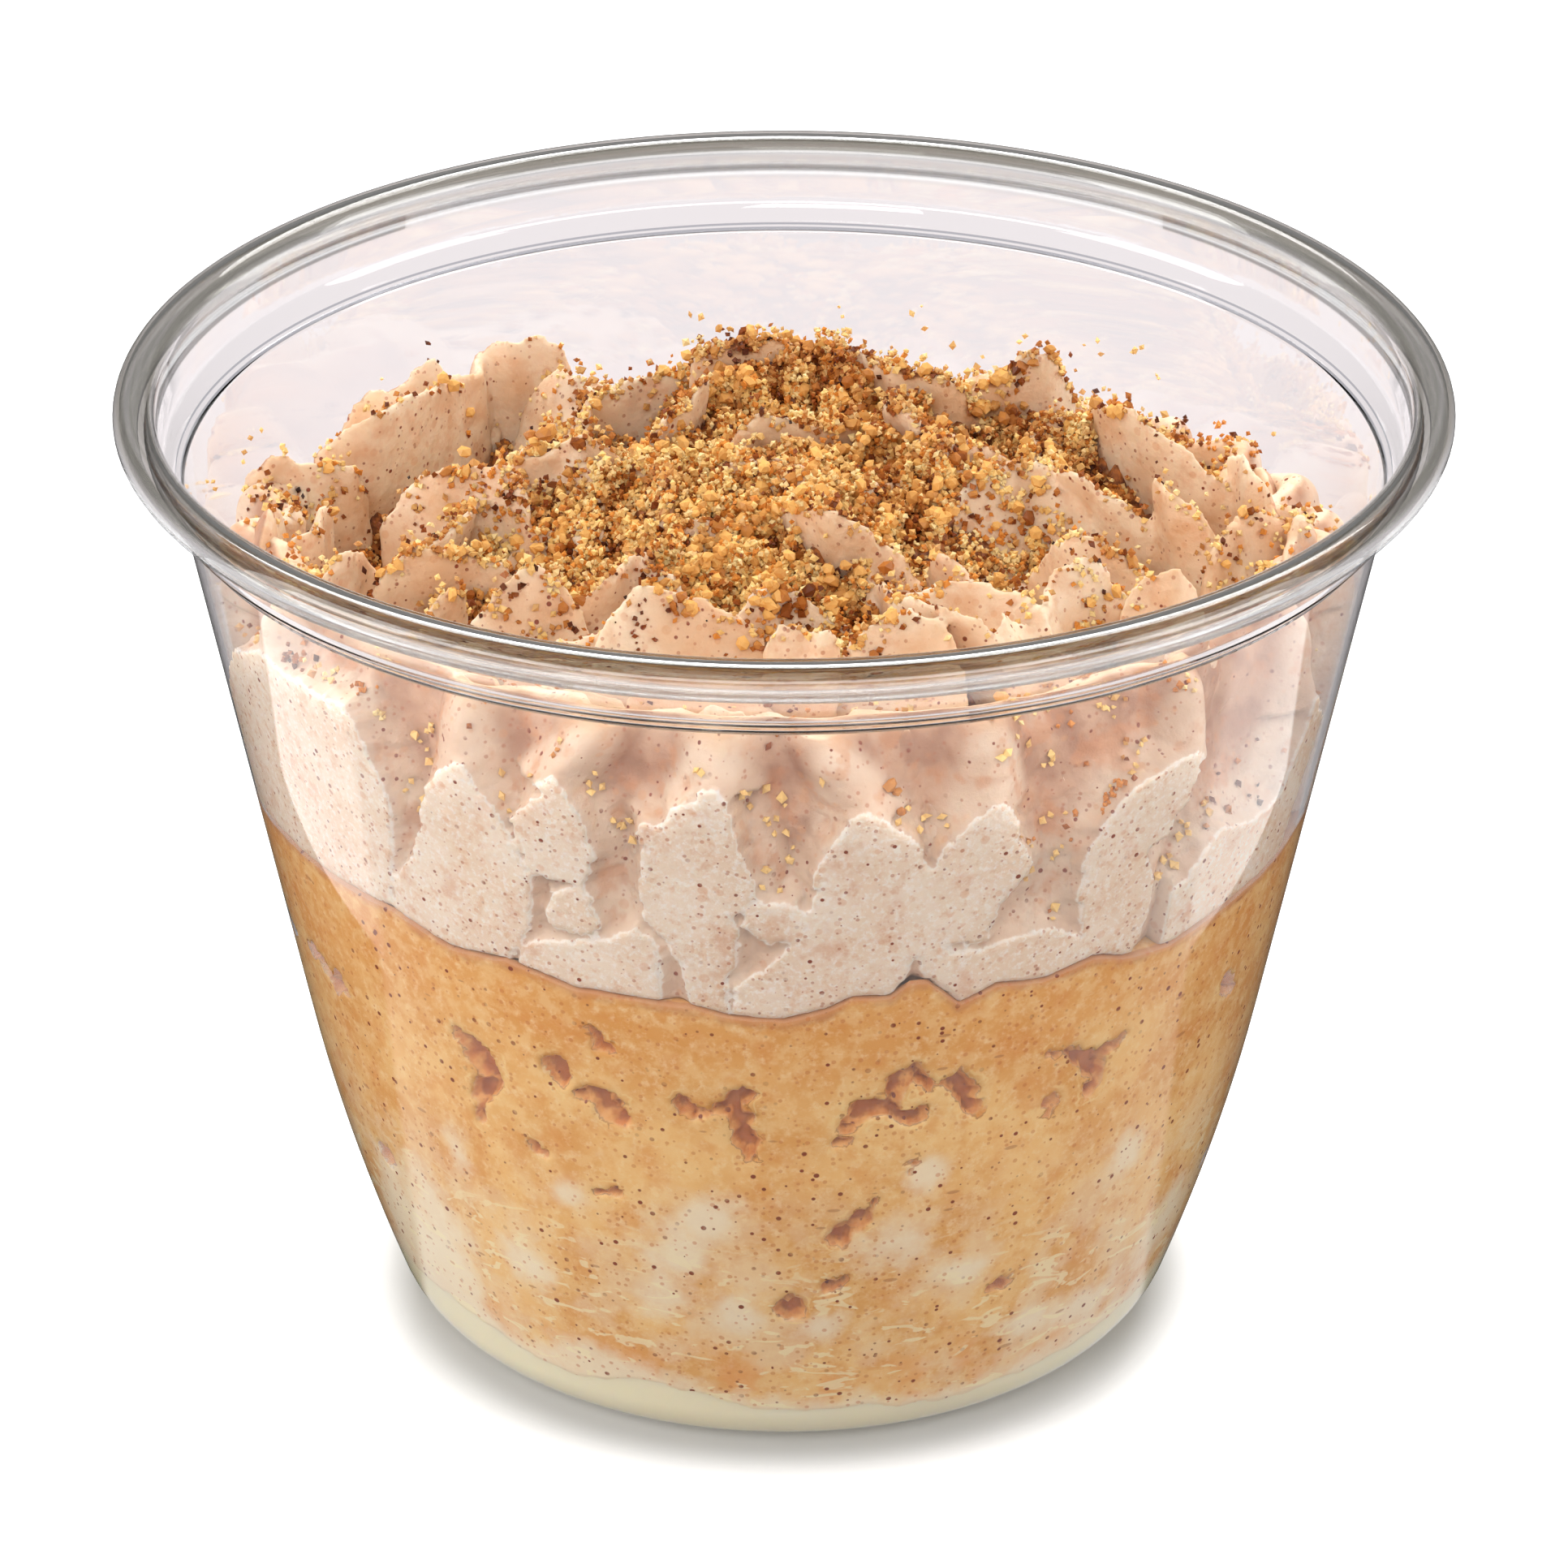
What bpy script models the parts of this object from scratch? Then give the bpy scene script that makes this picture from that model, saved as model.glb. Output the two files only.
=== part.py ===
# Churro tres leches parfait: a clear squat dessert cup holding a pool of milk, two rounds of
# soaked sponge and a piped cinnamon cream with crumbs. Metres, +Z up, the origin under the
# middle of the base. Angles round the cup are in degrees from the front (-Y), positive to +X.

import bmesh
import bpy
import math
import random
from mathutils import Matrix, Vector

MM = 0.001

# Cup
RIM_RADIUS = 49.0 * MM
CUP_HEIGHT = 74.4 * MM
SHEET = 0.5 * MM
ROLL_RADIUS = 1.55 * MM
ROLL_ANGLES = (-112, -56, 0, 45, 90, 135, 180)
COLLAR_FOOT_HEIGHT = 68.9 * MM
COLLAR_TAPER = 0.3 * MM
LEDGE_HEIGHT = 67.0 * MM
LEDGE_WIDTH = 1.5 * MM
WALL_TAPER = 0.2054
WALL_MID_HEIGHT = 22.8 * MM
WALL_MID_RADIUS = 35.32 * MM
BELLY_HEIGHT = 26.0 * MM
BELLY_CURVE = 3.74
CORNER_RADIUS = 6.4 * MM
CORNER_HEIGHT = 4.2 * MM
FOOT_WIDTH = 2.2 * MM
BASE_RECESS = 1.0 * MM
BASE_RECESS_SLOPE = 1.5 * MM
CUP_SIDES = 44

# Food levels above the table, and the gap that keeps neighbours apart
GAP = 0.3 * MM
MILK_TOP = 4.4 * MM
SPONGE_SEAM = 33.6 * MM
SPONGE_TOP = 43.6 * MM
CREAM_CEILING = 70.0 * MM

# Air pockets in the sponge where the two rounds meet at the wall: angle, height, width, tall
POCKETS = (
    (-35, 33.0, 3.4, 5.2), (-25, 33.2, 2.6, 3.4), (-19, 31.4, 4.6, 3.4), (-6, 31.6, 5.2, 4.4),
    (8, 31.2, 4.8, 4.2), (14.5, 32.4, 4.2, 3.6), (33, 32.2, 5.6, 3.4), (8, 23.6, 3.0, 3.2),
    (1, 16.0, 2.8, 2.6),
)
POCKET_DEPTH = 1.3 * MM
POCKET_SIDES = 8
POCKET_RINGS = 4
BACK_POCKET_ANGLES = range(80, 300, 50)
BACK_POCKET = (32.2, 4.4, 3.4)

# Whipped cream: the mound under the piping, as radius and height from the middle outwards
MOUND = ((0, 60.5), (11, 60.0), (21, 57.8), (31, 54.0), (41, 49.0))
MOUND_SIDES = 30
MOUND_SINK = 2.0 * MM

# How a petal is shaped: foot height, thickness, how far its sides curl, how far its tip
# bends in, how square its outline is, and how many rings its faces have. The shares are
# of the thickness at its foot and at its tip.
WALL_STYLE = (38.0, 6.0, -0.05, 5.0, 1.9, 4)
BLADE_STYLE = (50.0, 4.2, 0.16, 0.0, 2.8, 2)
PETAL_SIDES = 10
FOOT_SHARE = 1.2
TIP_SHARE = 0.6

# Petals piped against the wall: angle, tip height, width, sideways slant in degrees
WALL_PETALS = (
    (-66, 64.0, 11.5, 6), (-53, 66.0, 12.5, 4), (-41, 64.0, 10.5, -8), (-31, 65.0, 12.5, -6),
    (-20.5, 66.0, 10.5, -4), (-8.5, 66.0, 12.0, 4), (6, 65.0, 13.5, 4), (18, 64.5, 12.0, 10),
    (28.5, 58.5, 9.5, 0), (40, 66.0, 10.0, 14), (49, 61.5, 10.5, 24), (62, 65.0, 11.5, 8),
)
WALL_PETAL_PRESS = 1.0
WALL_PETAL_SPREAD = 11.0

# The wall petals on the side that isn't seen carry on in steps, each a little different
WALL_STEP = 12.2
WALL_STEP_SHARES = (0.9, 1.1)
WALL_TOPS = (63.5, 66.5)
WALL_WIDTHS = (9.5, 12.0)
WALL_SLANT = 10.0

# Blades of cream that show from above: angle, radius, top height, run, turn from the
# direction round the cup, and lean inwards, in millimetres and degrees
BLADES = (
    (-121, 36.5, 66.0, 15.5, -10, 14), (-131, 38.0, 64.8, 10.5, -18, 6), (-145, 36.5, 65.4, 8.5, -33, 4),
    (-137, 36.5, 64.5, 10.5, 30, 6), (-115, 27.0, 66.4, 13.0, 7, 26), (-93, 30.0, 66.0, 13.5, -28, 28),
    (-91, 24.5, 66.6, 12.0, 70, 14), (-99, 20.0, 66.8, 12.0, 60, 18), (-75, 27.0, 65.8, 12.5, 89, -12),
    (-124, 18.5, 67.2, 13.5, -62, 16), (-107, 38.0, 64.0, 10.5, -52, 8), (-90, 37.0, 64.2, 10.5, -25, 12),
    (-74, 35.0, 65.8, 10.5, -52, 10), (-43, 28.5, 66.6, 10.5, 57, 14), (119, 34.0, 66.0, 17.5, 10, 18),
    (107, 28.0, 66.8, 15.5, 13, 26), (111, 18.5, 67.2, 11.0, -56, 16), (84, 18.0, 67.0, 12.5, -73, 26),
    (76, 24.5, 66.4, 11.5, 82, 16), (62, 18.5, 66.8, 13.5, 71, 22), (89, 31.5, 66.2, 10.5, 24, 12),
    (59, 33.0, 67.2, 7.5, -47, 4), (53, 28.5, 66.8, 11.5, -4, 10), (79, 35.0, 65.6, 12.0, -37, 10),
    (100, 37.0, 64.4, 12.0, 6, 8), (41, 22.0, 67.4, 19.5, 83, 22), (25, 26.0, 67.0, 17.5, -50, 26),
    (13, 28.5, 66.6, 11.5, -40, 20), (-2, 26.5, 67.4, 6.5, 0, 4), (-18, 26.0, 67.0, 14.0, 33, 22),
    (54, 6.5, 68.0, 12.5, 80, 16), (0, 4.5, 66.8, 10.5, -34, 20), (163, 28.0, 66.4, 14.5, -12, 14),
    (-165, 31.5, 66.6, 13.0, 5, 14), (-92, 13.5, 66.4, 11.0, 32, 18), (145, 31.0, 65.8, 11.0, 47, 10),
    (-57, 17.0, 66.2, 11.5, -64, 16), (-36, 12.0, 66.0, 12.0, 40, 18), (172, 16.0, 67.4, 13.0, 20, 16),
    (140, 19.0, 67.0, 12.0, -30, 14), (-150, 22.0, 66.4, 11.5, 35, 16), (-170, 8.0, 66.6, 10.5, -20, 12),
)

# Blades that fill the space between the listed ones, set out in a spiral: how many, how far
# out, top height, run, turn and lean ranges, and how clear they stay of the listed ones
FILLING_COUNT = 84
FILLING_REACH = 35.0
FILLING_SPIRAL = 137.5
FILLING_TOPS = (63.8, 66.4)
FILLING_RUNS = (9.5, 13.0)
FILLING_TURN = 70.0
FILLING_LEANS = (8.0, 28.0)
FILLING_CLEARANCE = 6.0

# Clumps of crumbs heaped over the middle
CLUMPS = 16
CLUMP_RADII = (2.2, 3.6)
CLUMP_REACH = 22.0
CLUMP_ROUGHNESS = (0.75, 1.2)
CLUMP_LIFT = 0.3
SEED = 11

for old in list(bpy.data.objects):
    bpy.data.objects.remove(old, do_unlink=True)

parfait = bpy.data.collections.new("churro_tres_leches_parfait")
cutters = bpy.data.collections.new("cutters")
piping = bpy.data.collections.new("piping")
for collection in (parfait, cutters, piping):
    bpy.context.scene.collection.children.link(collection)


def material(name, colour, roughness, alpha=1.0):
    """A plain finish for one sub-part."""
    finish = bpy.data.materials.new(name)
    finish.use_nodes = True
    shader = finish.node_tree.nodes["Principled BSDF"]
    shader.inputs["Base Color"].default_value = (*colour, 1.0)
    shader.inputs["Roughness"].default_value = roughness
    shader.inputs["Metallic"].default_value = 0.0
    shader.inputs["Alpha"].default_value = alpha
    return finish


def add_object(name, mesh, collection, finish=None):
    """Put a mesh in the scene as a named object."""
    thing = bpy.data.objects.new(name, mesh)
    collection.objects.link(thing)
    if finish:
        mesh.materials.append(finish)
    return thing


def evaluated_copy(thing):
    """The mesh that an object's modifiers give."""
    graph = bpy.context.evaluated_depsgraph_get()
    return bpy.data.meshes.new_from_object(thing.evaluated_get(graph))


def smooth(thing, angle=40.0):
    """Shade round faces smooth and leave real edges sharp."""
    thing.data.shade_smooth()
    thing.data.set_sharp_from_angle(angle=math.radians(angle))


def turned(name, profile, collection, sides, finish=None):
    """A solid of revolution from an open profile that runs down its outer side."""
    mesh = bpy.data.meshes.new(name)
    edges = [(i, i + 1) for i in range(len(profile) - 1)]
    mesh.from_pydata([(radius, 0.0, height) for radius, height in profile], edges, [])
    thing = add_object(name, mesh, collection, finish)
    screw = thing.modifiers.new("turn", "SCREW")
    screw.axis = "Z"
    screw.steps = sides
    screw.render_steps = sides
    screw.use_merge_vertices = True
    screw.merge_threshold = 0.00001
    return thing


def baked(thing):
    """Apply an object's modifiers."""
    mesh = evaluated_copy(thing)
    thing.modifiers.clear()
    thing.data = mesh
    return thing


def boolean(thing, other, operation):
    """Cut or join a thing with another object or a whole collection, and apply it."""
    cut = thing.modifiers.new("boolean", "BOOLEAN")
    cut.operation = operation
    cut.solver = "EXACT"
    if isinstance(other, bpy.types.Collection):
        cut.operand_type = "COLLECTION"
        cut.collection = other
    else:
        cut.object = other
    return baked(thing)


def clear(collection):
    """Remove every object of a collection of tools once they have been used."""
    for tool in list(collection.objects):
        bpy.data.objects.remove(tool, do_unlink=True)


def keep_main_body(thing):
    """Split the faces in triangles, drop folded pairs and scraps, and fill sealed hollows."""
    skin = bmesh.new()
    skin.from_mesh(thing.data)
    bmesh.ops.triangulate(skin, faces=skin.faces)
    twins = {}
    for face in skin.faces:
        twins.setdefault(frozenset(face.verts), []).append(face)
    folded = [face for pair in twins.values() if len(pair) > 1 for face in pair]
    bmesh.ops.delete(skin, geom=folded, context="FACES")
    loose = [edge for edge in skin.edges if not edge.link_faces]
    bmesh.ops.delete(skin, geom=loose, context="EDGES")
    unseen = set(skin.faces)
    bodies = []
    while unseen:
        body, border = set(), [unseen.pop()]
        while border:
            face = border.pop()
            body.add(face)
            for edge in face.edges:
                for other in edge.link_faces:
                    if other in unseen:
                        unseen.discard(other)
                        border.append(other)
        bodies.append(body)
    bodies.sort(key=lambda body: sum(face.calc_area() for face in body), reverse=True)
    scraps = [face for body in bodies[1:] for face in body]
    bmesh.ops.delete(skin, geom=scraps, context="FACES")
    skin.to_mesh(thing.data)
    skin.free()


def outer_radius(height):
    """Radius of the cup's outer face on the plain wall, between the corner and the ledge."""
    radius = WALL_MID_RADIUS + WALL_TAPER * (height - WALL_MID_HEIGHT)
    below = max(0.0, BELLY_HEIGHT - height)
    return radius - BELLY_CURVE * below * below


def sheet_profile():
    """The cup's outer face from the end of the rolled rim to the middle of the base."""
    roll_middle = (RIM_RADIUS - ROLL_RADIUS, CUP_HEIGHT - ROLL_RADIUS)
    inside = ROLL_RADIUS - SHEET
    points = []
    for degrees in ROLL_ANGLES:
        angle = math.radians(degrees)
        points.append((roll_middle[0] + inside * math.cos(angle),
                       roll_middle[1] + inside * math.sin(angle)))
    collar_radius = points[-1][0] - COLLAR_TAPER
    ledge_radius = outer_radius(LEDGE_HEIGHT)
    points.append((collar_radius, COLLAR_FOOT_HEIGHT))
    points.append((collar_radius - 0.25 * LEDGE_WIDTH, COLLAR_FOOT_HEIGHT - 0.35 * LEDGE_WIDTH))
    points.append((ledge_radius, LEDGE_HEIGHT))
    for height in (BELLY_HEIGHT, 0.55 * BELLY_HEIGHT, CORNER_HEIGHT):
        points.append((outer_radius(height), height))
    end_angle = math.acos(1.0 - CORNER_HEIGHT / CORNER_RADIUS)
    foot_radius = outer_radius(CORNER_HEIGHT) - CORNER_RADIUS * math.sin(end_angle)
    for step in (2, 1, 0):
        angle = end_angle * step / 3.0
        points.append((foot_radius + CORNER_RADIUS * math.sin(angle),
                       CORNER_RADIUS * (1.0 - math.cos(angle))))
    points.append((foot_radius - FOOT_WIDTH, 0.0))
    points.append((foot_radius - FOOT_WIDTH - BASE_RECESS_SLOPE, BASE_RECESS))
    points.append((0.0, BASE_RECESS))
    return points


def inset(profile, distance):
    """The profile moved inwards, square to the sheet."""
    moved = []
    for i, (radius, height) in enumerate(profile):
        before = Vector(profile[max(i - 1, 0)])
        after = Vector(profile[min(i + 1, len(profile) - 1)])
        here = Vector((radius, height))
        normals = []
        for start, end in ((before, here), (here, after)):
            run = end - start
            if run.length > 1e-9:
                normals.append(Vector((run.y, -run.x)).normalized())
        normal = sum(normals, Vector((0.0, 0.0))).normalized()
        stretch = 1.0 / max(0.5, normal.dot(normals[0]))
        spot = here + normal * distance * stretch
        moved.append((max(0.0, spot.x) if radius > 0 else 0.0, spot.y))
    return moved


CUP_PROFILE = sheet_profile()
FOOD_PROFILE = inset(CUP_PROFILE[len(ROLL_ANGLES) - 1:], SHEET + GAP)


def food_radius(height):
    """How far out food reaches at a height inside the cup."""
    for (r_high, z_high), (r_low, z_low) in zip(FOOD_PROFILE, FOOD_PROFILE[1:]):
        if z_low <= height <= z_high and z_high > z_low:
            return r_low + (r_high - r_low) * (height - z_low) / (z_high - z_low)
    return FOOD_PROFILE[0][0]


def layer_profile(low, high):
    """A layer that fills the cup between two levels; low is None on the cup's floor."""
    points = [(0.0, high), (food_radius(high), high)]
    for radius, height in FOOD_PROFILE:
        if height < high - 0.00001 and (low is None or height > low + 0.00001):
            points.append((radius, height))
    if low is not None:
        points += [(food_radius(low), low), (0.0, low)]
    return points


def layer(name, low, high, collection, finish=None):
    """One level layer of food, turned to fit the cup."""
    return baked(turned(name, layer_profile(low, high), collection, CUP_SIDES, finish))


def spot_on_cup(angle, radius, height):
    """The point at an angle round the cup, from the front."""
    turn = math.radians(angle)
    return Vector((radius * math.sin(turn), -radius * math.cos(turn), height))


def blank(sides, rings):
    """A round blank to shape petals and pockets from, with its poles front and back."""
    clay = bmesh.new()
    bmesh.ops.create_uvsphere(clay, u_segments=sides, v_segments=rings, radius=1.0)
    clay.transform(Matrix.Rotation(math.radians(90.0), 4, "X"))
    return clay


def finish_tool(clay, name, collection):
    """Turn the shaped blank into an object in a collection of tools."""
    mesh = bpy.data.meshes.new(name)
    clay.to_mesh(mesh)
    clay.free()
    thing = add_object(name, mesh, collection)
    thing.hide_render = True
    thing.display_type = "WIRE"
    return thing


def petal(angle, radius, top, run, turn, lean, slant, style):
    """A petal of cream: a rounded outline, thin at the top, curled sideways and bent inwards."""
    foot, thick, curl, bend, squareness, rings = style
    clay = blank(PETAL_SIDES, rings)
    for corner in clay.verts:
        across, through, up = corner.co
        reach = math.hypot(across, up)
        if reach > 1e-6:
            square = abs(across / reach) ** squareness + abs(up / reach) ** squareness
            across, up = (part / square ** (1.0 / squareness) for part in (across, up))
        rise = 0.5 * (up + 1.0)
        corner.co.x = 0.5 * run * across
        corner.co.y = 0.5 * thick * through * (FOOT_SHARE + (TIP_SHARE - FOOT_SHARE) * rise)
        corner.co.y += curl * run * across * across * rise - bend * rise ** 4
        corner.co.z = (top - foot) * rise
    tilt = Matrix.Rotation(math.radians(lean), 4, "X") @ Matrix.Rotation(math.radians(-slant), 4, "Y")
    facing = Matrix.Rotation(math.radians(angle + turn + 180.0), 4, "Z")
    place = Matrix.Translation(spot_on_cup(angle, radius * MM, foot * MM))
    clay.transform(place @ facing @ tilt @ Matrix.Scale(MM, 4))
    return finish_tool(clay, "petal", piping)


def wall_petal(angle, tip, width, slant):
    """A petal that follows the cup's slope, so that it presses a leaf-shaped patch on the wall."""
    radius = food_radius(WALL_STYLE[0] * MM) / MM - 0.5 * WALL_STYLE[1] + WALL_PETAL_PRESS
    petal(angle, radius, tip, width, 0.0, -WALL_PETAL_SPREAD, slant, WALL_STYLE)


def crumb_clump(angle, radius, height, size, draw):
    """A rough clump of crumbs half sunk in the cream."""
    clay = bmesh.new()
    bmesh.ops.create_icosphere(clay, subdivisions=1, radius=1.0)
    for corner in clay.verts:
        corner.co *= size * draw.uniform(*CLUMP_ROUGHNESS) * MM
    clay.transform(Matrix.Translation(spot_on_cup(angle, radius * MM, height * MM)))
    return finish_tool(clay, "clump", piping)


def mound_height(radius):
    """Height of the cream mound at a radius, in millimetres."""
    for (r_in, z_in), (r_out, z_out) in zip(MOUND, MOUND[1:]):
        if r_in <= radius <= r_out:
            return z_in + (z_out - z_in) * (radius - r_in) / (r_out - r_in)
    return MOUND[-1][1]


def near_a_blade(angle, radius):
    """Whether a listed blade already stands close to this place."""
    here = spot_on_cup(angle, radius, 0.0)
    return any((spot_on_cup(row[0], row[1], 0.0) - here).length < FILLING_CLEARANCE for row in BLADES)


def make_cup():
    """The clear cup, one sheet of plastic rolled over at the rim."""
    finish = material("clear_plastic", (0.86, 0.89, 0.90), 0.08, 0.3)
    cup = turned("cup", CUP_PROFILE, parfait, CUP_SIDES, finish)
    wall = cup.modifiers.new("sheet", "SOLIDIFY")
    wall.thickness = SHEET
    wall.offset = -1.0
    wall.use_even_offset = True
    smooth(baked(cup), 35.0)


def make_milk():
    """The milk left over under the sponge."""
    finish = material("soaking_milk", (0.84, 0.75, 0.52), 0.3)
    smooth(layer("milk_pool", None, MILK_TOP, parfait, finish))


def make_sponge():
    """The two rounds of soaked sponge, with air pockets where they meet at the wall."""
    finish = material("soaked_sponge", (0.74, 0.47, 0.20), 0.5)
    lower = layer("sponge_lower", MILK_TOP + GAP, SPONGE_SEAM, parfait, finish)
    rows = list(POCKETS) + [(angle, *BACK_POCKET) for angle in BACK_POCKET_ANGLES]
    for angle, height, width, tall in rows:
        clay = blank(POCKET_SIDES, POCKET_RINGS)
        for corner in clay.verts:
            corner.co.x *= 0.5 * width * MM
            corner.co.y *= POCKET_DEPTH
            corner.co.z *= 0.5 * tall * MM
        clay.transform(Matrix.Rotation(math.radians(angle), 4, "Z"))
        clay.transform(Matrix.Translation(spot_on_cup(angle, food_radius(height * MM), height * MM)))
        finish_tool(clay, "pocket", cutters)
    boolean(lower, cutters, "DIFFERENCE")
    clear(cutters)
    keep_main_body(lower)
    smooth(lower)
    smooth(layer("sponge_upper", SPONGE_SEAM + GAP, SPONGE_TOP, parfait, finish))


def make_cream():
    """Whipped cream: a mound, petals round the wall, blades on top and crumb clumps, all one body."""
    finish = material("cinnamon_cream", (0.84, 0.68, 0.54), 0.6)
    draw = random.Random(SEED)
    floor = SPONGE_TOP + GAP
    profile = [(radius * MM, height * MM) for radius, height in MOUND]
    profile += [(profile[-1][0], floor - MOUND_SINK), (0.0, floor - MOUND_SINK)]
    cream = baked(turned("cinnamon_cream", profile, parfait, MOUND_SIDES, finish))

    for row in WALL_PETALS:
        wall_petal(*row)
    angle = WALL_PETALS[-1][0] + WALL_STEP
    while angle < 360.0 + WALL_PETALS[0][0] - 0.5 * WALL_STEP:
        wall_petal(angle, draw.uniform(*WALL_TOPS), draw.uniform(*WALL_WIDTHS),
                   draw.uniform(-WALL_SLANT, WALL_SLANT))
        angle += WALL_STEP * draw.uniform(*WALL_STEP_SHARES)
    for angle, radius, top, run, turn, lean in BLADES:
        petal(angle, radius, top, run, turn, lean, 0.0, BLADE_STYLE)
    for place in range(FILLING_COUNT):
        radius = FILLING_REACH * math.sqrt((place + 0.5) / FILLING_COUNT)
        angle = place * FILLING_SPIRAL
        if not near_a_blade(angle, radius):
            petal(angle, radius, draw.uniform(*FILLING_TOPS), draw.uniform(*FILLING_RUNS),
                  draw.uniform(-FILLING_TURN, FILLING_TURN), draw.uniform(*FILLING_LEANS), 0.0, BLADE_STYLE)
    for _ in range(CLUMPS):
        radius = CLUMP_REACH * math.sqrt(draw.random())
        size = draw.uniform(*CLUMP_RADII)
        crumb_clump(draw.uniform(0.0, 360.0), radius, mound_height(radius) + CLUMP_LIFT * size, size,
                    draw)

    boolean(cream, piping, "UNION")
    clear(piping)
    boolean(cream, layer("room_in_cup", floor, CREAM_CEILING, cutters), "INTERSECT")
    clear(cutters)
    keep_main_body(cream)
    smooth(cream, 50.0)


make_cup()
make_milk()
make_sponge()
make_cream()
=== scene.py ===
import math
import random

import bpy
import numpy as np
from mathutils import Matrix, Vector, noise
from mathutils.bvhtree import BVHTree


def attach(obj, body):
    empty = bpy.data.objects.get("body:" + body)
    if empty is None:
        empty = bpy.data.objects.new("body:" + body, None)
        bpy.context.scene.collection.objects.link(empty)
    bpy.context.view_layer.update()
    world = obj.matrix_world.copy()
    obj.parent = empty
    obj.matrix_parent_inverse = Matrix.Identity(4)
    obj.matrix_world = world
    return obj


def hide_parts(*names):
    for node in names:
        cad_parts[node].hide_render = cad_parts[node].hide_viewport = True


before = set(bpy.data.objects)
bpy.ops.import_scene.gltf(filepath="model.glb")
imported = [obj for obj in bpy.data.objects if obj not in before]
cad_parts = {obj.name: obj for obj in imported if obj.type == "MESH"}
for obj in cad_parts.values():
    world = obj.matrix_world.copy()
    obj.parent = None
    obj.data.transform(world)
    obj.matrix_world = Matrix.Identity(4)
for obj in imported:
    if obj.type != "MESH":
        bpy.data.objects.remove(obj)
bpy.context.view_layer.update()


# The cup: one thin clear sheet of PET, drawn over a mould. The rim is rolled over into a hollow
# bead, a short collar drops to a ledge, and the wall tapers to a rounded corner and a foot ring
# round a raised base. The sheet's middle line is turned round the axis and given its thickness.
MM = 0.001
SHEET = 0.5
ROLL_MIDDLE = (47.45, 72.85)
ROLL_RADIUS = 1.55
WALL_RADIUS, WALL_HEIGHT, WALL_SLOPE = 35.32, 22.8, 0.2054
BELLY, BELLY_TOP = 0.00374, 26.0
CORNER = 6.4
CORNER_TOP = 4.2
FOOT_WIDTH = 2.2
BASE_RECESS = 1.0
CUP_SIDES = 192


def wall_outside(height):
    """Radius of the cup's outer face at a height, both in millimetres."""
    if height < CORNER_TOP:
        return foot_radius() + math.sqrt(CORNER ** 2 - (CORNER - height) ** 2)
    return WALL_RADIUS + WALL_SLOPE * (height - WALL_HEIGHT) - BELLY * max(0.0, BELLY_TOP - height) ** 2


def foot_radius():
    """Where the rounded corner meets the flat foot ring."""
    return wall_outside(CORNER_TOP) - math.sqrt(CORNER ** 2 - (CORNER - CORNER_TOP) ** 2)


def wall_inside(height):
    """Radius of the cup's inner face at a height, both in millimetres."""
    if height < CORNER_TOP:
        inner = CORNER - SHEET
        return foot_radius() + math.sqrt(max(0.0, inner ** 2 - (CORNER - height) ** 2))
    slope = WALL_SLOPE + 2.0 * BELLY * max(0.0, BELLY_TOP - height)
    return wall_outside(height) - SHEET * math.hypot(1.0, slope)


def pick(*pieces):
    """Leave only these pieces selected, the first of them active."""
    bpy.ops.object.select_all(action="DESELECT")
    for piece in pieces:
        piece.select_set(True)
    if pieces:
        bpy.context.view_layer.objects.active = pieces[0]


def fix(piece, kind, **settings):
    """Add a modifier to a piece and apply it."""
    pick(piece)
    change = piece.modifiers.new(kind.lower(), kind)
    for name, value in settings.items():
        setattr(change, name, value)
    bpy.ops.object.modifier_apply(modifier=change.name)


def spun(name, outline, sides):
    """Draw an outline of radius and height in millimetres, and turn it round the axis."""
    pick()
    bpy.ops.mesh.primitive_plane_add(size=0.1 * MM, location=(0, 0, 0))
    piece = bpy.context.object
    piece.name = piece.data.name = name
    bpy.ops.object.mode_set(mode="EDIT")
    bpy.ops.mesh.merge(type="CENTER")
    here = Vector((0.0, 0.0, 0.0))
    for step, (radius, height) in enumerate(outline):
        there = Vector((radius * MM, 0.0, height * MM))
        if step == 0:
            bpy.ops.transform.translate(value=there)
        else:
            bpy.ops.mesh.extrude_region_move(TRANSFORM_OT_translate={"value": there - here})
        here = there
    bpy.ops.object.mode_set(mode="OBJECT")
    fix(piece, "SCREW", steps=sides, render_steps=sides, use_merge_vertices=True,
        merge_threshold=0.002 * MM, use_normal_calculate=True)
    bpy.ops.object.mode_set(mode="EDIT")
    bpy.ops.mesh.select_all(action="SELECT")
    bpy.ops.mesh.normals_make_consistent(inside=False)
    bpy.ops.object.mode_set(mode="OBJECT")
    return piece


def smooth(piece, angle):
    """Shade a piece smooth, with its edges above an angle kept sharp."""
    pick(piece)
    bpy.ops.object.shade_smooth_by_angle(angle=math.radians(angle))


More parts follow.
